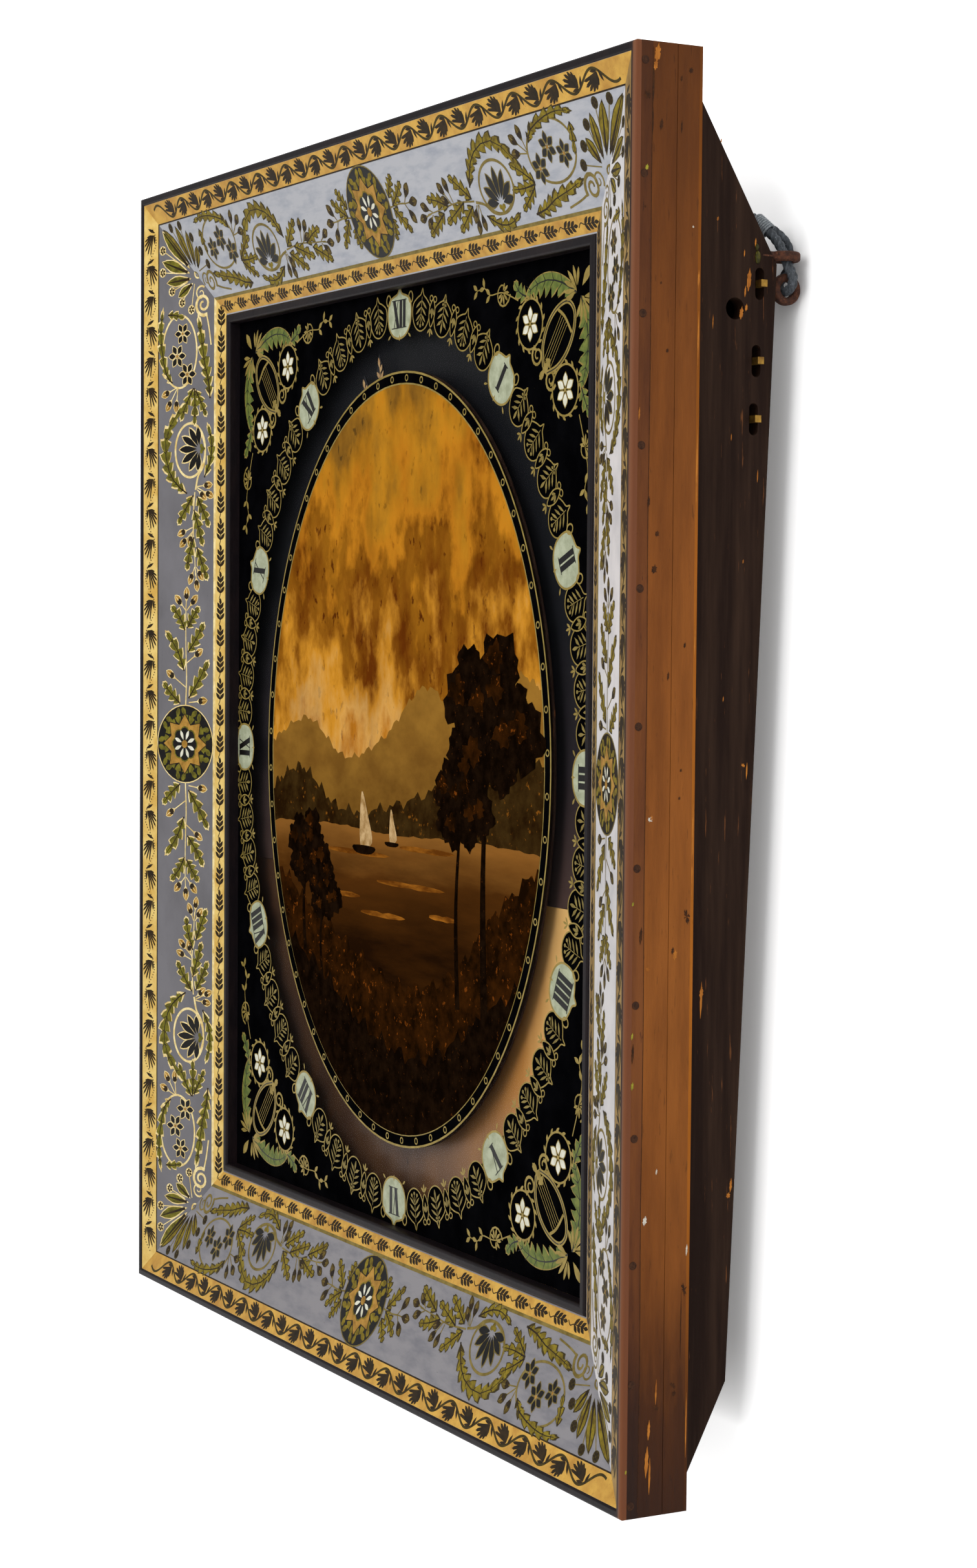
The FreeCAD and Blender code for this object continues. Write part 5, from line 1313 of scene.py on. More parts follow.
@dataclass
class GlassPanel(Artwork):
    """Painted decoration of one canted panel, in mm along it from its middle and in from the frame's edge.

    Args:
        side: Which panel.
        dotted: Whether the outer vine's stem is a row of dots.
        border: Insets of the outer gilding.
        fringe: Insets of the dark line beside it.
        rule: Insets of the olive line round the field.
        inner_border: Insets of the inner gilding.
        vine_pitch: Length of one wave of the vine.
        vine_rise: Half height of the wave.
        vine_step: Distance between the points of its stem.
        sprig_pitch: Distance between the sprigs of the inner gilding.
        middle: Inset of the medallion's centre.
        slim: How much narrower the vine's leaves are where its stem is dotted.
    """

    side: Side = Side.TOP
    dotted: bool = False
    border: Point = (6.6, 25.0)
    fringe: Point = (25.0, 26.2)
    rule: Point = (96.7, 99.3)
    inner_border: Point = (99.3, 112.2)
    vine_pitch: float = 55.7
    vine_rise: float = 6.4
    vine_step: float = 2.4
    sprig_pitch: float = 29.0
    middle: float = 61.5
    slim: float = 0.62

    @property
    def half(self) -> float:
        """Half the frame's length along this panel."""
        return HALF_WIDTH if self.side in (Side.TOP, Side.BOTTOM) else HALF_HEIGHT

    def plane(self, x: float, z: float, lift: float) -> Vector:
        """Turn a place on the panel into one in the shared frame.

        Args:
            x: Distance along the panel from its middle.
            z: Distance in from the frame's edge.
            lift: Height over the glass.

        Returns:
            The place.
        """
        slope = (PANEL_INNER[1] - PANEL_OUTER[1]) / (PANEL_INNER[0] - PANEL_OUTER[0])
        depth = PANEL_OUTER[1] + (z - PANEL_OUTER[0]) * slope - lift * math.hypot(1, slope)
        across, height = {Side.TOP: (x, HALF_HEIGHT - z), Side.BOTTOM: (x, z - HALF_HEIGHT),
                          Side.LEFT: (z - HALF_WIDTH, x), Side.RIGHT: (HALF_WIDTH - z, x)}[self.side]
        return spot(across, depth, height)

    def strip(self, paint: Paint, insets: Point, level: int = 0) -> None:
        """Lay a mitred strip along the panel.

        Args:
            paint: The paint.
            insets: Its outer and inner edge.
            level: Layer that it lies on.
        """
        near, far = (self.half - inset for inset in insets)
        self.fill(paint, level, [(-near, insets[0]), (near, insets[0]), (far, insets[1]), (-far, insets[1])])

    def borders(self) -> None:
        """Draw both gilt borders, their lines, vine and sprigs."""
        for paint, insets in ((Paint.GILT, self.border), (Paint.DARK, self.fringe), (Paint.LINE, self.rule),
                              (Paint.GILT, self.inner_border)):
            self.strip(paint, insets)
        centre = sum(self.border) / 2
        reach = self.half - self.border[1]
        stops = [self.vine_step * step - reach for step in range(int(2 * reach / self.vine_step))]
        wave = [(at, centre + self.vine_rise * math.sin(2 * math.pi * at / self.vine_pitch)) for at in stops]
        if self.dotted:
            for point in wave:
                self.disc(Paint.DARK, 1, point, 0.65, 6)
        else:
            self.stroke(Paint.EDGE, 1, wave, 2.0)
        waves = int(2 * reach / self.vine_pitch)
        for index in range(-waves, waves):
            self.stand(((index + 0.5) * self.vine_pitch / 2, centre), up=(0, 1 if index % 2 else -1))
            self.half_palmette()
        middle = sum(self.inner_border) / 2
        count = int((self.half - self.inner_border[1]) / self.sprig_pitch)
        for index in range(-count, count + 1):
            self.stand((index * self.sprig_pitch, middle))
            self.stroke(Paint.DARK, 1, smooth([(-15, 1.5), (-11, -1.5), (-6, 0), (8, 0)]), 0.8)
            for step in range(3):
                for side in (1, -1):
                    base = (-6.5 + 4.8 * step, 0)
                    tip = (base[0] + 6.4, side * (5.0 - 0.6 * step))
                    self.fill(Paint.DARK, 1, drop(base, tip, 3.2, POINTED_END))
            self.fill(Paint.DARK, 1, drop((7, 0), (13.5, 0), 3.0, POINTED_END))
        self.stand()

    def half_palmette(self) -> None:
        """Draw the winged half palmette in one hollow of the vine, with the small leaf behind it."""
        for tip, width in (((-13.0, 0.5), 3.2), ((-12.0, 4.6), 3.6), ((-8.6, 7.6), 3.8), ((-4.0, 8.8), 3.8),
                           ((0.6, 8.2), 3.6), ((4.4, 5.6), 3.2)):
            middle = Vector((6.0, -3.5)).lerp(tip, 0.55) + Vector((0.6, 0.9))
            share = self.slim if self.dotted else 1.0
            self.fill(Paint.DARK, 1, lobed([(6.0, -3.5), middle, tip], width * share, 1))
        self.fill(Paint.DARK, 1, drop((8.0, -5.0), (12.4, 4.0), 2.8, POINTED_END))
        self.fill(Paint.DARK, 1, drop((6.5, -4.0), (-2.5, -4.6), 2.4, POINTED_END))

    def medallion(self) -> None:
        """Draw the round star medallion at the panel's middle."""
        self.stand((0, self.middle))
        self.disc(Paint.LINE, 3, (0, 0), 36.0, 40)
        self.disc(Paint.BLACK, 4, (0, 0), 35.0, 40)
        for index in range(18):
            angle = 20 * index
            tip = polar(34, angle + (MEDALLION_LEAN if index % 2 else -MEDALLION_LEAN))
            self.fill(Paint.LEAF, 5, lobed([polar(19, angle), polar(27, angle), tip], 7.6, 2))
        star = [polar(18.5 if index % 2 else 27.0, 22.5 * index) for index in range(16)]
        self.fill(Paint.DARK, 6, [(1.05 * x, 1.05 * y) for x, y in star])
        self.fill(Paint.OCHRE, 7, star)
        for paint, level, reach, radius in ((Paint.LEAF, 8, 10.5, 6.0), (Paint.BLACK, 9, 10, 5.2)):
            for index in range(8):
                self.disc(paint, level, polar(reach, 45 * index), radius, 10)
        self.disc(Paint.BLACK, 9, (0, 0), 11.0, 16)
        for index in range(8):
            angle = 45 * index + 22.5
            self.fill(Paint.PALE, 10, drop(polar(4, angle), polar(13.4, angle), 3.4))
        self.disc(Paint.OCHRE, 11, (0, 0), 3.6, 12)
        self.stand()

    def ring_scroll(self) -> None:
        """Draw the ring with its black fan and the leaves round it."""
        self.ring(Paint.LINE, 1, (206, 67), (24.5, 19), 2.2, 36)
        stem = smooth([(170, 74), (182, 77), (192, 84), (206, 86), (222, 80), (232, 68)])
        self.stroke(Paint.LINE, 1, stem, 2.2, 1.2)
        self.fan((207, 79), -90, 168, 7, 27, 8.2, Paint.LINE, 1)
        self.fan((207, 79), -90, 166, 7, 25.6, 6.2, Paint.BLACK, 2)
        self.fan((207, 79), 90, 100, 3, 7, 4, Paint.LEAF, 2)
        self.leaf(((167, 63), (176, 49), (190, 39), (213, 35), (234, 45), (253, 66)), 13.5, 9)
        self.leaf(((181, 85), (197, 93), (214, 94), (231, 88)), 9, 5)
        for axis in (((262, 71), (248, 62), (232, 54)), ((262, 72), (245, 73), (227, 72)),
                     ((260, 74), (248, 81), (235, 88))):
            self.leaf(axis, 9.5)
        for centre in ((247, 39), (258, 35), (246, 49)):
            self.acorn((264, 51), centre, 5.6)

    def flower_loop(self) -> None:
        """Draw the loop of three dark flowers, its crest and the large leaf under it."""
        self.ring(Paint.LINE, 1, (296, 53), (33, 22), 1.9, 36)
        for centre, radius in (((275, 63), 10.5), ((292, 50), 10.5), ((312, 57), 9.5)):
            self.flower(centre, radius, 6, Paint.BLACK, Paint.OCHRE)
        self.leaf(((268, 44), (276, 36), (300, 30), (320, 29), (338, 32)), 9, 7)
        self.leaf(((330, 38), (329, 48), (326, 60)), 8, 3)
        self.leaf(((252, 92), (268, 90), (284, 85), (308, 81), (330, 76)), 12, 7)
        self.stroke(Paint.LINE, 1, coil((337, 83), 10.5, 150, 1.6), 3.2, 1.8)
        self.stroke(Paint.LINE, 1, smooth([(300, 93), (317, 90), (328, 87)]), 1.6)

    def corner(self) -> None:
        """Draw this panel's half of the corner palmette and its dotted rosettes."""
        for base, tip, width in (
                ((357, 70), (345, 51), 8), ((361, 68), (359, 36), 8.5), ((366, 66), (379, 30), 10),
                ((370, 66), (407, 30), 10), ((372, 70), (398, 44), 6)):
            self.fill(Paint.EDGE, 1, drop(base, tip, width + 1.6))
            near, far = Vector(base).lerp(tip, 0.08), Vector(base).lerp(tip, 0.96)
            self.fill(Paint.LEAF, 2, drop(near, far, width - 0.4))
            self.stroke(Paint.DARK, 3, [near, far], 2.8, 0.6)
        for foot, centre in (((366, 60), (369, 31)), ((374, 56), (389, 31)), ((358, 63), (351, 43)),
                             ((356, 68), (340, 56)), ((356, 72), (333, 68))):
            self.stroke(Paint.LINE, 1, [foot, centre], 0.9)
            self.disc(Paint.EDGE, 1, centre, 4.3, 12)
            self.fan(centre, 90, 300, 6, 4.0, 1.9)
        self.stroke(Paint.LINE, 1, coil((347, 80), 7, 40, -1.3), 1.8, 0.8)
        self.ring(Paint.LINE, 1, (366, 76), (5, 4), 1.6, 12)

    def draw(self) -> None:
        """Draw the borders, the medallion and the scrolls on both sides of it."""
        self.borders()
        self.medallion()
        longer = self.half - HALF_WIDTH
        for way in (1, -1):
            self.stand(right=(way, 0))
            (LONG_SPRIG if longer else SHORT_SPRIG).draw(self)
            self.stand((way * longer, 0), (way, 0))
            BRANCH.draw(self)
            self.ring_scroll()
            self.flower_loop()
            self.corner()


@dataclass
class Dial(Artwork):
    """Black dial glass with its chapter ring and corner ornaments, in mm from the dial's centre.

    Args:
        half: Half width and half height of the black ground.
        opening: How far the clear oval's edge lies inside the chapter ring's middle line.
        hours: Numerals clockwise from the top.
        figure: Inner and outer end of a numeral, from the chapter ring's middle line.
        bar: Width of a thick stroke.
        hair: Width of a thin stroke.
    """

    half: Point = (317.3, 378.8)
    opening: float = 7.0
    hours: tuple[str, ...] = ("XII", "I", "II", "III", "IIII", "V", "VI", "VII", "VIII", "IX", "X", "XI")
    figure: Point = (-11.5, 10.5)
    bar: float = 4.6
    hair: float = 1.0

    @staticmethod
    def on_oval(degrees: float, radii: Point) -> Vector:
        """Find a place on an oval.

        Args:
            degrees: Angle clockwise from the top, seen from the centre.
            radii: Half width and half height.

        Returns:
            The place.
        """
        away = Vector(polar(1.0, 90 - degrees))
        return away / math.hypot(away.x / radii[0], away.y / radii[1])

    def face(self, degrees: float, grow: float = 0.0) -> None:
        """Stand at a place on the chapter ring with up pointing outwards.

        Args:
            degrees: Angle clockwise from the top.
            grow: Distance outwards from the ring's middle line.
        """
        place = self.on_oval(degrees, CHAPTER_RADII)
        out = Vector((place.x / CHAPTER_RADII[0] ** 2, place.y / CHAPTER_RADII[1] ** 2)).normalized()
        self.stand(place + grow * out, (out.y, -out.x), out)

    def ground(self) -> None:
        """Lay the black ground round the clear oval."""
        corner = math.degrees(math.atan2(self.half[0], self.half[1]))
        angles = sorted({*range(0, 360, 3), corner, 180 - corner, 180 + corner, 360 - corner})
        radii = tuple(radius - self.opening for radius in CHAPTER_RADII)
        points = []
        for angle in angles:
            away = Vector(polar(1.0, 90 - angle))
            reach = min(self.half[0] / max(abs(away.x), 1e-6), self.half[1] / max(abs(away.y), 1e-6))
            points += [away * reach, self.on_oval(angle, radii)]
        count = len(points)
        self.add(Paint.BLACK, 0, points, [
            (i, i + 1, (i + 3) % count, (i + 2) % count) for i in range(0, count, 2)])

    def arch(self, berries: bool) -> None:
        """Draw one pointed arch with its spray.

        Args:
            berries: Whether it holds the berry spray or the flower spray.
        """
        outline = smooth([(-14.5, 3), (-14.2, -6), (-9, -14), (0, -17.2), (9, -14), (14.2, -6), (14.5, 3),
                          (8, 8.5), (2.4, 11.5), (0, 16.5), (-2.4, 11.5), (-8, 8.5)], 3, closed=True)
        self.fill(Paint.BLACK, 1, outline)
        self.stroke(Paint.GILT, 2, outline, 1.1, closed=True)
        self.stroke(Paint.LEAF, 2, [(0, 10), (0, -7)], 0.6)
        for step in range(3):
            for side in (1, -1):
                base = (0, 7 - 5.2 * step)
                tip = (side * (9.5 - 0.6 * step), base[1] - 6.5)
                self.fill(Paint.LEAF, 2, drop(base, tip, 2.1, POINTED_END))
        if berries:
            for place in ((-4.6, -11.5), (0, -13), (4.6, -11.5)):
                self.stroke(Paint.LEAF, 2, [(0, -6), place], 0.6)
                self.disc(Paint.LEAF, 2, place, 1.5, 8)
        else:
            self.fan((0, -4), -90, 110, 3, 10.5, 2.8, Paint.LEAF, 2)
            self.fan((0, 9), 90, 220, 4, 5, 2.2, Paint.LEAF, 2)

    def lancet(self) -> None:
        """Draw the narrow pointed bud and loops between two arches."""
        outline = smooth([(0, -11), (4.2, -4), (4.4, 4), (0, 11), (-4.4, 4), (-4.2, -4)], 3, closed=True)
        self.fill(Paint.BLACK, 3, outline)
        self.stroke(Paint.GILT, 4, outline, 1.1, closed=True)
        self.fan((0, 5), -90, 60, 3, 9.5, 2.4, Paint.LEAF, 4)
        for side in (1, -1):
            self.ring(Paint.GILT, 4, (side * 3.2, 11.2), (2.7, 2.3), 1.0, 10)
            self.fill(Paint.GILT, 4, drop((0, -12), (side * 4.6, -16.5), 2.0))
        self.fill(Paint.GILT, 4, drop((0, -12), (0, -19), 2.0))

    def cartouche(self) -> None:
        """Draw one pale shield."""
        outline = smooth([
            (-20.5, 1), (-18.5, -10), (-11, -17.5), (0, -20), (11, -17.5), (18.5, -10), (20.5, 1), (18, 10),
            (11, 13.5), (4, 15.5), (0, 20), (-4, 15.5), (-11, 13.5), (-18, 10)], 4, closed=True)
        self.fill(Paint.PALE, 3, outline)
        self.stroke(Paint.GILT, 4, outline, 1.7, closed=True)
        for side in (1, -1):
            self.ring(Paint.GILT, 4, (side * 19.5, 11.5), (3.6, 4.4), 1.3, 14)
        for side in (1, 0, -1):
            tip = (side * 17.5 + 2.4 * side, -20 - 2 * (1 - abs(side)))
            self.fill(Paint.GILT, 4, drop((side * 15, -16.5), tip, 2.0))

    def numeral(self, text: str) -> None:
        """Draw a Roman numeral with its feet to the centre.

        Args:
            text: The numeral.
        """
        low, high = self.figure
        widths = {"I": 6.0, "V": 10.6, "X": 10.6}
        total = sum(widths[letter] for letter in text)
        squeeze = min(1.0, 29.0 / total)
        place = -total * squeeze / 2
        for letter in text:
            wide = widths[letter] * squeeze
            left, right, middle = place + 0.16 * wide, place + 0.84 * wide, place + wide / 2
            bar = self.bar * squeeze ** 0.5
            strokes = {
                "I": [((middle, high), (middle, low), bar)],
                "V": [((left, high), (middle, low), bar), ((right, high), (middle, low), self.hair)],
                "X": [((left, high), (right, low), bar), ((right, high), (left, low), self.hair)]}[letter]
            for start, end, width in strokes:
                self.stroke(Paint.DARK, 5, [start, end], width)
            for row in (0, 1):
                for x, z in (points[row] for points in strokes):
                    self.stroke(Paint.DARK, 5, [(x - bar * 0.85, z), (x + bar * 0.85, z)], 0.8)
            place += wide

    def chapter_ring(self) -> None:
        """Draw the chapter ring."""
        for hour, text in enumerate(self.hours):
            for step in range(1, 5):
                self.face(30 * hour + 6 * step, 2.8)
                self.arch((step + hour) % 2 == 1)
            for step in range(1, 4):
                self.face(30 * hour + 6 * step + 3, 1.5)
                self.lancet()
            self.face(30 * hour)
            self.cartouche()
            self.numeral(text)
        self.stand()

    def spandrel(self) -> None:
        """Draw one corner's acanthus, lyre, flowers and tendrils."""
        for axis, width, lobes, plain in (
                (((283, 350), (262, 359), (240, 363), (220, 360), (206, 353)), 23, 7, -1),
                (((208, 354), (198, 358), (189, 367)), 13, 3, 0),
                (((289, 347), (297, 330), (300, 310), (295, 290), (289, 279)), 23, 7, 1),
                (((291, 281), (297, 270), (306, 258)), 13, 3, 0)):
            self.leaf(axis, width, lobes, Paint.GREEN, plain)
        for base, aim in (((284, 352), 146), ((291, 346), -58)):
            self.fan(base, aim, 120, 6, 21, 3.6, Paint.GILT, 4)
        self.fill(Paint.GILT, 4, drop((291, 354), (303, 368), 7))
        for shift in range(5):
            side = (shift - 2) * 2.1
            self.stroke(Paint.GILT, 2, [(239 + side, 300 - side), (265 + side, 332 - side)], 0.5)
        frame_line = smooth([(235, 300), (234, 315), (241, 330), (254, 341), (270, 345), (280, 337),
                             (279, 323), (270, 309), (256, 299), (240, 295)])
        self.stroke(Paint.GILT, 2, frame_line, 3.8)
        self.stroke(Paint.DARK, 3, frame_line, 0.9)
        self.stroke(Paint.GILT, 2, smooth([(256, 340), (266, 334), (276, 322)]), 2.4)
        self.fill(Paint.GILT, 2, lobed([(245, 305), (238, 299), (229, 291)], 10, 3))
        for centre in ((214.5, 333), (267.5, 281)):
            self.ring(Paint.GILT, 2, centre, (18.8, 18.8), 1.6, 28)
            for leaf in range(14):
                angle = 360 / 14 * leaf
                tip = polar(22.2, angle + WREATH_LEAN, centre)
                self.fill(Paint.GILT, 2, drop(polar(18.8, angle, centre), tip, 2.4))
            self.flower(centre, 12.5, 6, Paint.WHITE, Paint.GILT)
        for centre, start, turns in (((226, 309), 120, 1.5), ((246, 290), -30, -1.5)):
            self.stroke(Paint.GILT, 2, coil(centre, 8.5, start, turns), 2.6, 1.2)
        for centre, foot, tips, start in (
                ((172, 360), (196, 352), ((152, 360), (143, 366), (132, 365)), 200),
                ((297, 238), (288, 262), ((301, 220), (297, 208), (302, 198)), -70)):
            self.stroke(Paint.GILT, 2, coil(centre, 12, start + 150, -1.1), 1.7, 0.9)
            self.fan(centre, start + 120, 220, 7, 10, 2.4, Paint.GILT, 2)
            self.stroke(Paint.GILT, 2, smooth([foot, centre, *tips]), 1.1, 0.7)
            for tip, nearer in zip(tips, (centre, *tips)):
                for turn in (0.7, -0.7):
                    away = (Vector(tip) - Vector(nearer)).normalized()
                    away.rotate(Matrix.Rotation(turn, 2))
                    self.fill(Paint.GILT, 2, drop(tip, Vector(tip) + 8.5 * away, 3.8, POINTED_END))

    def rim(self) -> None:
        """Draw the black band with its gilt lines and rings round the picture."""
        wide, tall = PICTURE_RADII
        for paint, inset, width in ((Paint.GILT, 0.9, 1.8), (Paint.BLACK, 5.6, 7.8), (Paint.GILT, 10.1, 1.3)):
            self.ring(paint, 1, (0, 0), (wide - inset, tall - inset), width, 120)
        for place in round_line((0, 0), (wide - 5.6, tall - 5.6), 60, 3.0):
            self.ring(Paint.GILT, 2, place, (2.4, 2.4), 1.1, 10)

    def draw(self) -> None:
        """Draw the ground, the chapter ring, the corners and the picture's rim."""
        self.ground()
        self.chapter_ring()
        for across in (1, -1):
            for upright in (1, -1):
                self.stand(right=(across, 0), up=(0, upright))
                self.spandrel()
        self.stand()
        self.rim()


@dataclass
class OvalPicture(Artwork):
    """A plain lake view in the oval, in amber and brown.

    Args:
        inset: Distance from the picture's edge to its painted ground.
        grounds: Paint, layer, roughness and upper line of each part of the view, in shares of the oval.
        glints: Place and length of each glint on the water, in shares of the oval.
        glint_height: Half height of a glint in mm.
        trees: Foot, height of the crown's middle and its radius for each tree, in mm.
        boats: Foot of the mast and height of the sail for each boat, in mm.
        clumps: Clumps of leaves on a tree.
        clump_turn: Turn from one clump to the next, in radians.
        reach: Share of the oval's radius within which a ground's upper line is kept.
        rim_steps: Steps along the oval's lower edge.
    """

    inset: float = 10.4
    grounds: tuple[tuple[Paint, int, float, tuple[Point, ...]], ...] = (
        (Paint.OCHRE, 1, 0.012, (
            (-1, 0.03), (-0.7, 0.1), (-0.4, 0.0), (-0.1, 0.06), (0.2, 0.2), (0.5, 0.12), (0.8, 0.24),
            (1, 0.2))),
        (Paint.LEAF, 2, 0.02, (
            (-1, -0.1), (-0.75, -0.04), (-0.45, -0.14), (-0.1, -0.13), (0.3, -0.06), (0.6, 0.04), (1, 0.02))),
        (Paint.LINE, 3, 0.003, ((-1, -0.2), (-0.5, -0.19), (0, -0.2), (0.5, -0.19), (1, -0.2))),
        (Paint.GREEN, 5, 0.025, (
            (-1, -0.3), (-0.7, -0.42), (-0.35, -0.52), (0.05, -0.6), (0.4, -0.54), (0.7, -0.36), (1, -0.22))),
        (Paint.DARK, 6, 0.03, (
            (-1, -0.48), (-0.6, -0.6), (-0.2, -0.74), (0.2, -0.78), (0.6, -0.64), (1, -0.46))))
    glints: tuple[tuple[float, float, float], ...] = (
        (-0.3, -0.26, 0.5), (0.1, -0.33, 0.5), (-0.42, -0.38, 0.3), (0.22, -0.23, 0.4), (-0.1, -0.42, 0.34),
        (0.34, -0.4, 0.2))
    glint_height: float = 2.4
    trees: tuple[tuple[Point, float, float], ...] = (
        ((152, -200), 36, 74), ((108, -190), -30, 46), ((-172, -170), -84, 40), ((-138, -190), -118, 30))
    boats: tuple[tuple[Point, float], ...] = (((-66, -72), 44), ((-12, -66), 26))
    clumps: int = 15
    clump_turn: float = 2.4
    reach: float = 0.995
    rim_steps: int = 40

    def under(self, line: list[Point], rough: float = 0.0) -> list[Point]:
        """Close a line across the oval along the oval's lower edge.

        Args:
            line: Points from left to right, in shares of the oval's half width and half height.
            rough: How uneven the line is, in the same shares.

        Returns:
            The outline in mm.
        """
        wide, tall = (radius - self.inset for radius in PICTURE_RADII)
        uneven = [(x, z + rough * tremor(index)) for index, (x, z) in enumerate(smooth(line, 16))]
        inside = [point for point in uneven if math.hypot(*point) < self.reach]
        start, end = (math.atan2(point[1], point[0]) for point in (inside[-1], inside[0]))
        sweep = (end - start) % (-2 * math.pi)
        turns = [start + sweep * step / self.rim_steps for step in range(self.rim_steps + 1)]
        rim = [polar(1.0, math.degrees(turn)) for turn in turns]
        return [(wide * x, tall * z) for x, z in [*inside, *rim]]

    def tree(self, trunk: Point, height: float, spread: float) -> None:
        """Paint one tree with its clumps of leaves.

        Args:
            trunk: Foot of its trunk.
            height: Height of its crown's middle.
            spread: Radius of its crown.
        """
        top = (trunk[0] + 4, height)
        bend = (trunk[0] - 4, (trunk[1] + height) / 2)
        self.stroke(Paint.DARK, 6, smooth([trunk, bend, top]), 0.16 * spread, 3)
        for clump in range(self.clumps):
            across, up = polar(spread * 0.21 * clump ** 0.5, math.degrees(self.clump_turn * clump))
            centre = (top[0] + across, top[1] + 0.85 * up)
            size = spread * (0.3 + 0.06 * math.sin(3 * clump))
            self.fill(Paint.DARK, 7, ragged(round_line(centre, (1.15 * size, size), 26), 0.24 * size))
            if clump % 2:
                place = (centre[0] - 0.3 * size, centre[1] + 0.3 * size)
                light = round_line(place, (0.55 * size, 0.4 * size), 18)
                self.fill(Paint.GREEN, 9, ragged(light, 0.2 * size))

    def boat(self, place: Point, sail: float) -> None:
        """Paint one small boat under sail.

        Args:
            place: Foot of its mast.
            sail: Height of its sail.
        """
        x, z = place
        keel = z - 0.16 * sail
        cloth = [(x, z), (x + 0.5 * sail, z + 0.06 * sail),
                 (x + 0.3 * sail, z + 0.6 * sail), (x + 2, z + sail)]
        hull = [(x - 0.3 * sail, z - 1), (x + 0.6 * sail, z - 1),
                (x + 0.45 * sail, keel), (x - 0.15 * sail, keel)]
        self.fill(Paint.WHITE, 5, smooth(cloth, 4, closed=True))
        self.fill(Paint.DARK, 6, smooth(hull, 3, closed=True))

    def draw(self) -> None:
        """Paint the view from its sky forwards."""
        wide, tall = (radius - self.inset for radius in PICTURE_RADII)
        self.add(Paint.PALE, 0, round_line((0, 0), (wide, tall), 120), [tuple(range(120))])
        for paint, level, rough, line in self.grounds:
            self.fill(paint, level, self.under(line, rough))
        for across, height, size in self.glints:
            glint = round_line((across * wide, height * tall), (size * wide / 2, self.glint_height), 24)
            self.fill(Paint.GILT, 4, ragged(glint, 1.4))
        for tree in self.trees:
            self.tree(*tree)
        for boat in self.boats:
            self.boat(*boat)


@dataclass
class HandSprig(Artwork):
    """Gilt leaves along the end of a hand, in mm.

    Args:
        depth: Depth of the hand's front.
        tip: Place of its tip.
        length: Length of the sprig.
    """

    depth: float = 0.0
    tip: Point = (0.0, 0.0)
    length: float = 34.0

    def plane(self, x: float, z: float, lift: float) -> Vector:
        """Turn a place on the hand into one in the shared frame.

        Args:
            x: Distance to the right.
            z: Height.
            lift: Height over the hand.

        Returns:
            The place.
        """
        return spot(x, self.depth - lift, z)

    def draw(self) -> None:
        """Draw the stem and its leaves."""
        away = Vector(self.tip).normalized()
        self.stand(Vector(self.tip) - self.length * away, (away.y, -away.x), away)
        self.stroke(Paint.GILT, 0, [(0, 0), (0, 27)], 1.2, 0.8)
        for height, side, reach in ((9, 1, 7), (11, -1, 8), (16, 1, 8), (18, -1, 7), (23, 1, 6)):
            tip = (side * reach * 0.8, height + reach * 0.7)
            self.fill(Paint.GILT, 1, drop((0, height - 2), tip, 3.6, POINTED_END))
        self.fill(Paint.GILT, 1, drop((0, 25), (-1, self.length), 4.2, POINTED_END))


Marks = tuple[Paint, tuple[tuple[float, float, float, float], ...]]
# Chips, stains and flecks on the door's side and on the case, by paint: depth, height, width and length.
FRONT_MARKS: tuple[Marks, ...] = (
    (Paint.OCHRE, (
        (17.5, 492, 4.5, 13), (16, 484, 3, 7), (19, -20, 2, 4), (17, -123, 3, 3), (22, -440, 2.2, 14),
        (20.5, -462, 3, 22), (23, -472, 1.6, 26), (27.5, -414, 1.4, 18), (6, 252, 1.2, 9))),
    (Paint.DARK, (
        (14.4, 470, 1.8, 26), (14.2, 446, 1.2, 20), (21, 445, 2.6, 8), (10, 464, 5, 6), (27.5, 295, 2, 3),
        (21, 172, 3, 4), (19, 148, 4, 6), (14, 193, 2, 8), (31, 76, 1.6, 6), (11.5, -100, 2.4, 12),
        (6, -180, 2, 14), (27.5, -425, 4.5, 3), (9, 390, 1.6, 2), (22, 340, 1.4, 2))),
    (Paint.GREEN, (
        (10, 416, 2.4, 4), (5, -78, 1.6, 3), (5.5, -168, 1.6, 5), (6, -202, 2, 6), (4, -467, 1.4, 3))),
    (Paint.WHITE, (
        (18, -21, 3.4, 3), (17, -295, 3, 6.5), (26, -262, 1.4, 4))))
CASE_MARKS: tuple[Marks, ...] = (
    (Paint.WHITE, (
        (47, 379, 1.5, 1.5), (51, -318, 1.4, 8))),
    (Paint.DARK, (
        (37, 445, 1.4, 9), (36.5, 477, 1.6, 4), (44, 483, 3, 4), (44, 97, 1.6, 4), (42, 12, 1.6, 2.4),
        (41, -7, 1.6, 2.4), (48, -88, 9.5, 0.9), (37, -111, 2, 5), (49, -345, 8, 0.9), (47, -370, 0.8, 48),
        (41, -411, 5, 2), (42, -417, 3, 4))),
    (Paint.OCHRE, (
        (51.8, 344, 1.6, 13), (52, 303, 1.4, 40), (52, 215, 1.4, 60), (52, -40, 1.2, 70), (52, 100, 1.0, 24),
        (39, -114, 3, 7), (52, -440, 1.2, 46), (95, 325, 3, 9), (99, 329, 2, 5), (101, 348, 3.4, 16),
        (98, 340, 1.4, 8), (77, 441, 1, 3), (75, 388, 1.4, 3), (106, 374, 1.2, 6), (97, 366, 1, 5),
        (68.7, -148, 1.8, 26), (68.9, -143, 3, 8), (95, -279, 2, 10), (93, -286, 3, 4), (104, 10, 1.2, 12),
        (101, 14, 3, 2), (110, 214, 0.9, 9), (72, 318, 0.8, 10), (88, 240, 0.8, 5), (99, 155, 1, 3),
        (84, 60, 0.8, 4))))


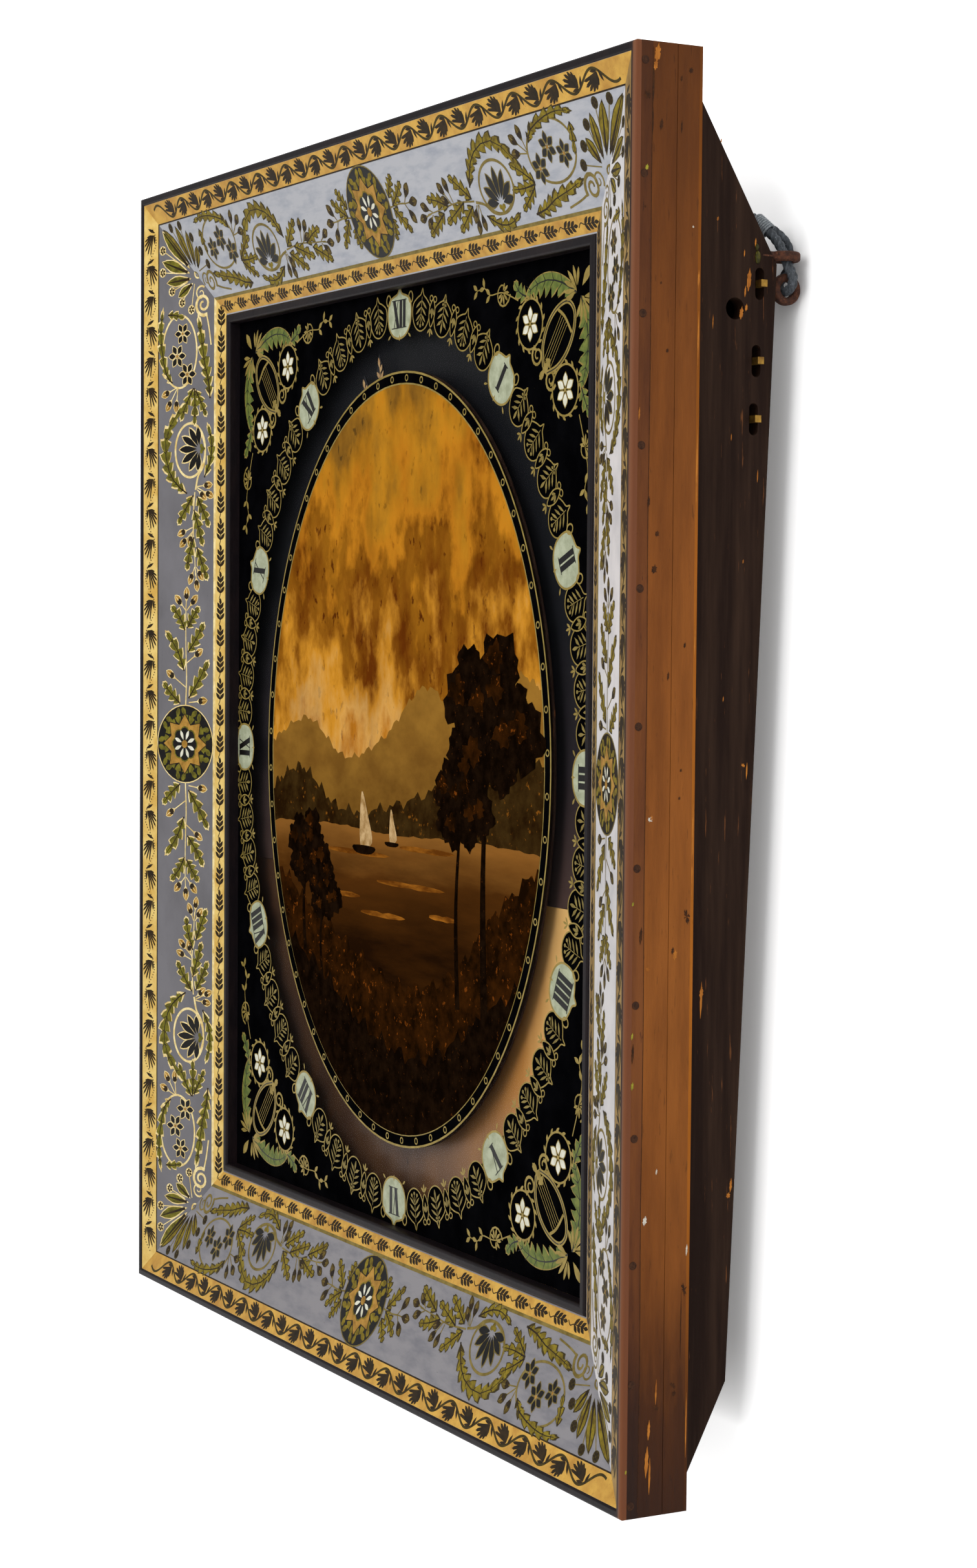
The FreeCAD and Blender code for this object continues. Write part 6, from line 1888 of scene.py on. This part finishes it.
@dataclass
class SideWear(Artwork):
    """Joint, chips, stains and flecks on the right side, in mm behind the frame's front and up.

    Args:
        marks: Depth, height, width and length of each mark, by paint.
        joint: Depth of the joint between the front strip and the next one, or 0 for none.
        frame_depth: Depth at which the frame ends and the box starts.
    """

    marks: tuple[Marks, ...] = ()
    joint: float = 0.0
    frame_depth: float = 53.4

    def plane(self, x: float, z: float, lift: float) -> Vector:
        """Turn a place on the right side into one in the shared frame.

        Args:
            x: Depth behind the frame's front.
            z: Height.
            lift: Height over the surface.

        Returns:
            The place.
        """
        return spot((HALF_WIDTH if x < self.frame_depth else BOX_SIDE) + lift, x, z)

    def draw(self) -> None:
        """Draw the marks and the joint."""
        for paint, places in self.marks:
            for depth, height, width, length in places:
                lean, half = 0.2 * width, length / 2
                ends = (depth - lean, height - half), (depth + lean, height + half)
                outline = smooth(drop(*ends, width, POINTED_END), 3, closed=True)
                self.fill(paint, 1, ragged(outline, 0.22 * width))
        if self.joint:
            line = [(self.joint + 0.25 * math.sin(height / 37), height) for height in range(-496, 497, 16)]
            self.stroke(Paint.DARK, 0, line, 0.5)


@dataclass
class NailsAndResin:
    """Nail heads in the frame's front strip and lumps of resin on the box, in mm.

    Args:
        nail_heights: Heights of the nails.
        nail_depth: Their depth behind the frame's front.
        nail_radius: Radius of a nail's head.
        resin: Depth, height and half sizes of each lump of resin.
    """

    nail_heights: tuple[float, ...] = (487, 412, 319, 231, 135, 42, -54, -147, -238, -325, -407, -491)
    nail_depth: float = 8.0
    nail_radius: float = 2.9
    resin: tuple[tuple[float, float, float, float], ...] = ((108.0, 364, 2.2, 4.6), (107.2, 371, 1.4, 2.4))

    def nails(self, paints: Paints) -> None:
        """Model one sunk nail head and copy it up the front strip.

        Args:
            paints: The materials.
        """
        bpy.ops.object.select_all(action="DESELECT")
        bpy.ops.mesh.primitive_cylinder_add(vertices=20, radius=self.nail_radius * MM, depth=0.6 * MM,
                                            rotation=(0, math.pi / 2, 0))
        model = bpy.context.object
        bpy.ops.object.transform_apply(rotation=True)
        with edit_mode():
            bpy.ops.mesh.bevel(offset=0.2 * MM, segments=2)
        corners = [vertex.co.copy() for vertex in model.data.vertices]
        faces = [tuple(face.vertices) for face in model.data.polygons]
        bpy.data.objects.remove(model)
        points, loops = [], []
        for height in self.nail_heights:
            first = len(points)
            points += [corner + spot(HALF_WIDTH, self.nail_depth, height) for corner in corners]
            loops += [tuple(first + corner for corner in face) for face in faces]
        make_piece("nail_heads", points, loops, paints.of(NAIL), "front")

    def lumps(self, paints: Paints) -> None:
        """Model the lumps of resin round the eyes' roots.

        Args:
            paints: The materials.
        """
        for index, (depth, height, deep, tall) in enumerate(self.resin):
            bpy.ops.object.select_all(action="DESELECT")
            bpy.ops.mesh.primitive_uv_sphere_add(segments=20, ring_count=12, radius=MM,
                                                 location=spot(BOX_SIDE, depth, height))
            lump = bpy.context.object
            lump.scale = (1.6, deep, tall)
            bpy.ops.object.transform_apply(location=True, scale=True)
            with edit_mode():
                bpy.ops.transform.vertex_random(offset=0.35 * MM, seed=index + 1)
                bpy.ops.mesh.vertices_smooth(factor=0.4)
            bpy.ops.object.shade_smooth()
            lump.name = f"resin_lump_{index + 1}"
            lump.data.materials.append(paints.of(RESIN))
            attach(lump, "case")

    def build(self, paints: Paints) -> None:
        """Make the nails and the resin.

        Args:
            paints: The materials.
        """
        self.nails(paints)
        self.lumps(paints)


def main() -> None:
    """Build the scene in order: studio, cord, finishes, painted glass, dial and wear."""
    logging.basicConfig(level=logging.INFO)
    paints = Paints()
    Studio().build()
    HangingCord().build(paints)
    paints.coat_frame()
    for side, finishes, pitch in ((Side.TOP, PALE_PAINTS, 29.0), (Side.BOTTOM, PALE_PAINTS, 29.0),
                                  (Side.LEFT, LEFT_PAINTS, 24.0), (Side.RIGHT, RIGHT_PAINTS, 24.0)):
        GlassPanel(f"panel_{side.value}", finishes, side=side, dotted=side is Side.LEFT,
                   sprig_pitch=pitch).build(paints)
    Dial("dial", DIAL_PAINTS, slot="dial_glass").build(paints)
    OvalPicture("view", PICTURE_PAINTS, slot="picture").build(paints)
    for body, depth, tip in HANDS:
        HandSprig(f"{body}_sprig", HAND_PAINTS, body, "gilt_hand", depth=depth, tip=tip).build(paints)
    SideWear(
        "front_wear", WEAR_PAINTS, "front", "oak_frame", marks=FRONT_MARKS, joint=STRIP_JOINT).build(paints)
    SideWear("case_wear", WEAR_PAINTS, "case", "dark_wood", marks=CASE_MARKS).build(paints)
    NailsAndResin().build(paints)


if __name__ == "__main__":
    main()
